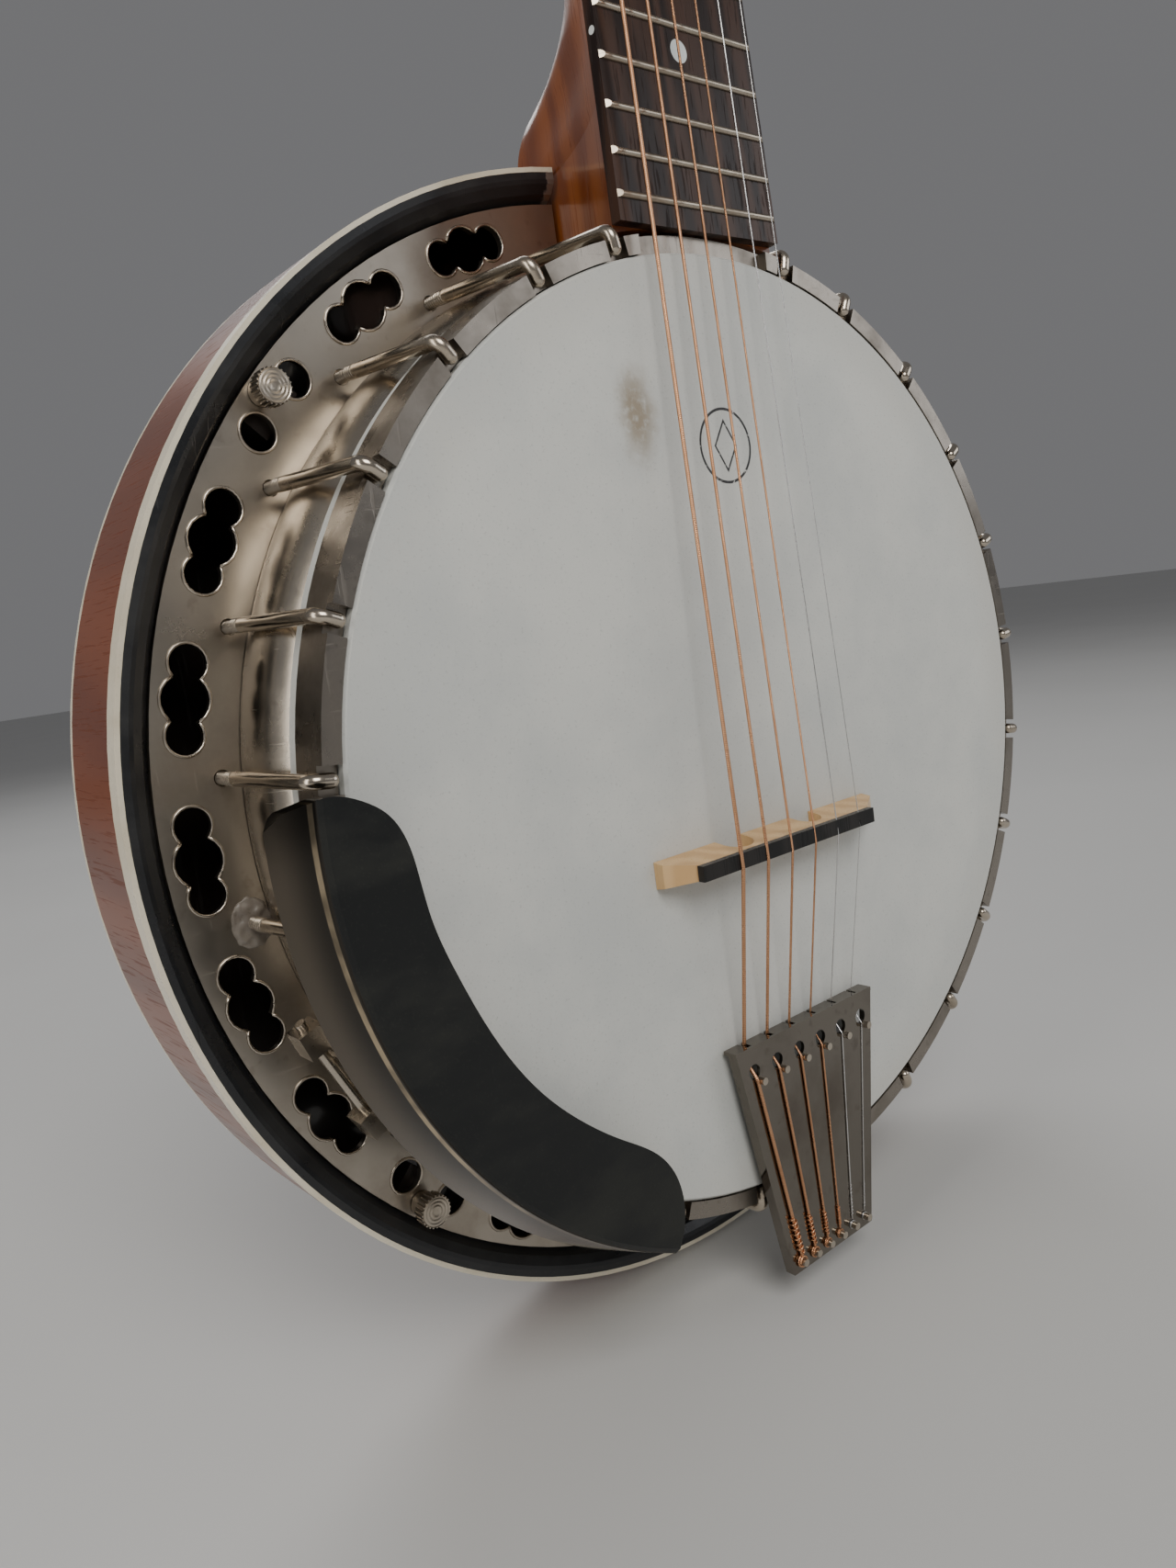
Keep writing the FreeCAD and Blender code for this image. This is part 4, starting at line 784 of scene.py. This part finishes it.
def make_coil(radius, wire, turns, pitch):
    """A coil about the Z axis that starts at the origin's height."""
    deselect()
    bpy.ops.mesh.primitive_circle_add(vertices=SECTION, radius=wire, location=(radius, 0, 0),
                                      rotation=(math.pi / 2, 0, 0))
    coil = bpy.context.object
    bpy.ops.object.transform_apply(location=True, rotation=True, scale=True)
    steps = int(STEPS_PER_TURN * turns)
    apply_modifier(coil, "SCREW", axis="Z", angle=2 * math.pi * turns, screw_offset=pitch * turns,
                   iterations=1, steps=steps, render_steps=steps, use_smooth_shade=True)
    close_end(coil, 0)
    close_end(coil, len(coil.data.vertices) - SECTION)
    bpy.ops.object.mode_set(mode="EDIT")
    bpy.ops.mesh.select_all(action="SELECT")
    bpy.ops.mesh.normals_make_consistent(inside=False)
    bpy.ops.object.mode_set(mode="OBJECT")
    return coil


def lay_along(item, start, direction):
    """Turn a piece that was modelled along Z to a direction, and put it at a place."""
    item.rotation_euler = direction.to_track_quat("Z", "Y").to_euler()
    item.location = start


print("a coil's wire has", SECTION, "sides")

# %% [markdown]
# ## Windings on the posts
# A tuner post has a waist that the string is wound on. The joint that turns the post gives its
# place and its axis, and a thick string makes fewer turns than a thin one.

# %% Windings on the tuner posts
JOINTS = {joint["name"]: joint for joint in frame["record"]["behaviour"]["joints"]}
WAIST = 2.5 * MM
WAIST_LENGTH = 3.4 * MM
WAIST_START = 5.6 * MM
MOST_TURNS = 5.5
STRING_WIRE = [0.60 * MM, 0.48 * MM, 0.38 * MM, 0.30 * MM, 0.20 * MM, 0.15 * MM]
STRING_FINISH = wound + [plain_steel, plain_steel]


def wind_post(number):
    wire = STRING_WIRE[number]
    joint = JOINTS["post_%d_turn" % (number + 1)]
    axis = Vector(joint["axis"])
    turns = min(MOST_TURNS, WAIST_LENGTH / (2 * wire))
    coil = make_coil(WAIST + wire, wire, turns, 2.02 * wire)
    lay_along(coil, Vector(joint["pos_m"]) + axis * WAIST_START, axis)
    settle(coil, "winding_%d" % (number + 1), "post_%d" % (number + 1),
           STRING_FINISH[number])


for number in range(6):
    wind_post(number)

# %% [markdown]
# ## String ends
# Each string's own mesh tells where it ends: the average of its lowest points is its tip, and
# the average of those a little higher gives its direction. So the loop and the wrap need no
# typed-in places.

# %% Loops and wraps
PIN_RADIUS = 1.15 * MM
WOUND_COUNT = 4


def middle_at(item, low, high):
    points = [vertex.co for vertex in item.data.vertices if low <= vertex.co.z <= high]
    return sum(points, Vector()) / len(points)


def string_tip(number):
    item = frame["nodes"]["string_%d" % (number + 1)]
    lowest = min(vertex.co.z for vertex in item.data.vertices)
    tip = middle_at(item, lowest - 1, lowest + 1.5 * MM)
    guide_end = middle_at(item, lowest + 50 * MM, lowest + 66 * MM)
    return tip, (guide_end - tip).normalized()


def tie_string(number):
    wire = STRING_WIRE[number]
    tip, upward = string_tip(number)
    thin = 0.62 * wire
    turns, pitch = (7, 3.0 * wire) if number < WOUND_COUNT else (9, 6.0 * wire)
    wrap = make_coil(wire + thin * 0.7, thin, turns, pitch)
    lay_along(wrap, tip + upward * 1.2 * MM, upward)
    settle(wrap, "wrap_%d" % (number + 1), "body", STRING_FINISH[number])
    loop = make_coil(PIN_RADIUS + wire * 0.8, wire * 0.7, 1.25, 1.4 * wire)
    pin_front = tip + Vector((0, 0, -2.0 * MM)) - Vector((0, wire, 0))
    lay_along(loop, pin_front, Vector((0, 1, 0)))
    settle(loop, "pin_loop_%d" % (number + 1), "body", STRING_FINISH[number])


for number in range(6):
    tie_string(number)
print("string 1 ends at", [round(value, 4) for value in string_tip(0)[0]])

# %% [markdown]
# ## Heads of the thumbscrews
# The top of each thumbscrew is turned with fine circular grooves. A cylinder's front face is
# selected by where it points, then inset again and again, pushed in and out by turns.

# %% Grooved caps
CAP_RADIUS = 4.4 * MM
GROOVE_DEPTH = 0.22 * MM
GROOVE_STEPS = 7


def select_front_face(item):
    bpy.ops.object.mode_set(mode="OBJECT")
    for face in item.data.polygons:
        face.select = face.normal.z > 0.9
    bpy.ops.object.mode_set(mode="EDIT")


def make_grooved_cap(radius):
    deselect()
    bpy.ops.mesh.primitive_cylinder_add(vertices=48, radius=radius, depth=0.6 * MM)
    cap = bpy.context.object
    bpy.ops.object.mode_set(mode="EDIT")
    bpy.ops.mesh.select_mode(type="FACE")
    bpy.ops.mesh.select_all(action="DESELECT")
    select_front_face(cap)
    bpy.ops.mesh.inset(thickness=0.25 * MM)
    for step in range(GROOVE_STEPS):
        lift = -GROOVE_DEPTH if step % 2 == 0 else GROOVE_DEPTH
        bpy.ops.transform.translate(value=(0, 0, lift))
        bpy.ops.mesh.inset(thickness=0.52 * MM)
    bpy.ops.object.mode_set(mode="OBJECT")
    apply_modifier(cap, "BEVEL", width=0.06 * MM, segments=2)
    bpy.ops.object.shade_smooth_by_angle(angle=math.radians(30))
    return cap


first_cap = make_grooved_cap(CAP_RADIUS)
for number in range(1, 5):
    cap = copy_of(first_cap)
    screw = "thumbscrew_%d" % number
    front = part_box(screw)[0][1]
    place = Vector(JOINTS[screw + "_turn"]["pos_m"])
    lay_along(cap, Vector((place.x, front + 0.05 * MM, place.z)), Vector((0, -1, 0)))
    settle(cap, "grooved_cap_%d" % number, screw, nickel)
bpy.data.objects.remove(first_cap)
print("grooved caps made")

# %% [markdown]
# ## Lips of the sound holes
# Each opening in the flange is three round holes run together, and its edge was rolled over
# when the plate was pressed, so a thin bright lip runs round it. The lip is made of arcs of a
# thin ring. Where two holes meet, the cosine rule gives the angle at which each arc stops.

# %% Arcs of a lip
LOBE_REACH = 159.6 * MM
LOBE_STEP = math.radians(3.25)
MIDDLE_LOBE = 6.5 * MM
SIDE_LOBE = 5.1 * MM
LIP = 0.45 * MM


def make_arc(radius, sweep):
    """Part of a thin ring about the Z axis, with its middle on the X axis."""
    arc = make_coil(radius, LIP, sweep / (2 * math.pi), 0)
    middle = sum((vertex.co for vertex in arc.data.vertices), Vector())
    arc.rotation_euler.z = -math.atan2(middle.y, middle.x)
    select_only(arc)
    bpy.ops.object.transform_apply(location=False, rotation=True, scale=False)
    return arc


def meeting_angle(radius, other, apart):
    """Angle at a circle's centre, from the line of centres to where the circles cross."""
    return math.acos((apart ** 2 + radius ** 2 - other ** 2) / (2 * apart * radius))


apart = 2 * LOBE_REACH * math.sin(LOBE_STEP / 2)
middle_arc = make_arc(MIDDLE_LOBE, math.pi - 2 * meeting_angle(MIDDLE_LOBE, SIDE_LOBE, apart))
side_arc = make_arc(SIDE_LOBE, 2 * math.pi - 2 * meeting_angle(SIDE_LOBE, MIDDLE_LOBE, apart))
deselect()
bpy.ops.mesh.primitive_torus_add(major_radius=SIDE_LOBE, minor_radius=LIP, major_segments=24,
                                 minor_segments=8)
round_lip = bpy.context.object
bpy.ops.object.shade_smooth()
print("lobes are", round(apart / MM, 2), "mm apart")

# %% Lips round every opening
HOOK_PITCH = 14.55
FIRST_OPENING = 18.7
SECOND_HOOK = 26
SCREW_ANGLES = (47.9, 135.5)
gaps = [FIRST_OPENING] + [SECOND_HOOK + HOOK_PITCH * (step + 0.5) for step in range(10)]
open_angles = [angle for angle in gaps if min(abs(angle - screw) for screw in SCREW_ANGLES) > 3]


def lobe_centre(turn):
    return Vector((LOBE_REACH * math.sin(turn), FLANGE_FACE, LOBE_REACH * math.cos(turn)))


def lay_on_flange(item, centre, direction):
    """A copy of a piece that was modelled flat, with its X axis along a direction."""
    twin = copy_of(item)
    across = Vector((-direction.z, 0, direction.x))
    twin.matrix_world = Matrix((direction, across, direction.cross(across))).transposed().to_4x4()
    twin.matrix_world.translation = centre
    return twin


def lips_at(angle, is_screw):
    parts = []
    middle = lobe_centre(angle)
    for side in (-1, 1):
        end = lobe_centre(angle + side * LOBE_STEP)
        outward = (end - middle).normalized()
        if is_screw:
            parts.append(lay_on_flange(round_lip, end, outward))
        else:
            parts.append(lay_on_flange(side_arc, end, outward))
            parts.append(lay_on_flange(middle_arc, middle, Vector((-outward.z, 0, outward.x))))
    return parts


lips = []
for hand in (-1, 1):
    for angle in open_angles:
        lips += lips_at(hand * math.radians(angle), False)
    for angle in SCREW_ANGLES:
        lips += lips_at(hand * math.radians(angle), True)
select_only(lips[0])
for lip in lips:
    lip.select_set(True)
bpy.ops.object.join()
settle(bpy.context.object, "hole_lips", "body", nickel)
for pattern in (middle_arc, side_arc, round_lip):
    bpy.data.objects.remove(pattern)
print("lips", len(lips))

# %% [markdown]
# ## A lump of old glue
# One hook stands in a dried lump on the flange. A ball made of triangles is flattened, and the
# Displace modifier pushes its points in and out by a cloud texture, which makes it lumpy.

# %% Lump at the foot of a hook
LUMP_ANGLE = math.radians(-98.75)
LUMP_REACH = 150.8 * MM
LUMP_SIZE = (5.6 * MM, 1.2 * MM, 6.8 * MM)


def make_lump():
    place = (LUMP_REACH * math.sin(LUMP_ANGLE), FLANGE_FACE, LUMP_REACH * math.cos(LUMP_ANGLE))
    deselect()
    bpy.ops.mesh.primitive_ico_sphere_add(subdivisions=4, radius=1.0, location=place)
    lump = bpy.context.object
    lump.scale = LUMP_SIZE
    bpy.ops.object.transform_apply(location=False, rotation=False, scale=True)
    clouds = bpy.data.textures.new("lumps", "CLOUDS")
    clouds.noise_scale = 0.0021
    apply_modifier(lump, "DISPLACE", texture=clouds, strength=2.0 * MM, mid_level=0.5)
    bpy.ops.object.shade_smooth()
    return settle(lump, "glue_lump", "body", residue)


make_lump()
print("lump made")

# %% [markdown]
# ## Floor finish
# The floor stays plain and pale, with only a trace of unevenness so that it does not look
# printed.

# %% Floor finish
def make_floor_finish():
    material, tree, shader, place = new_material("pale_floor")
    tone = blend_colours(tree, noise(tree, place, 3, 4), (0.56, 0.56, 0.55, 1), (0.62, 0.62, 0.61, 1))
    join(tree, shader, Base_Color=tone, Roughness=0.7)
    return material


dress(floor, make_floor_finish())
print("floor finished")

# %% [markdown]
# ## End


print("done")
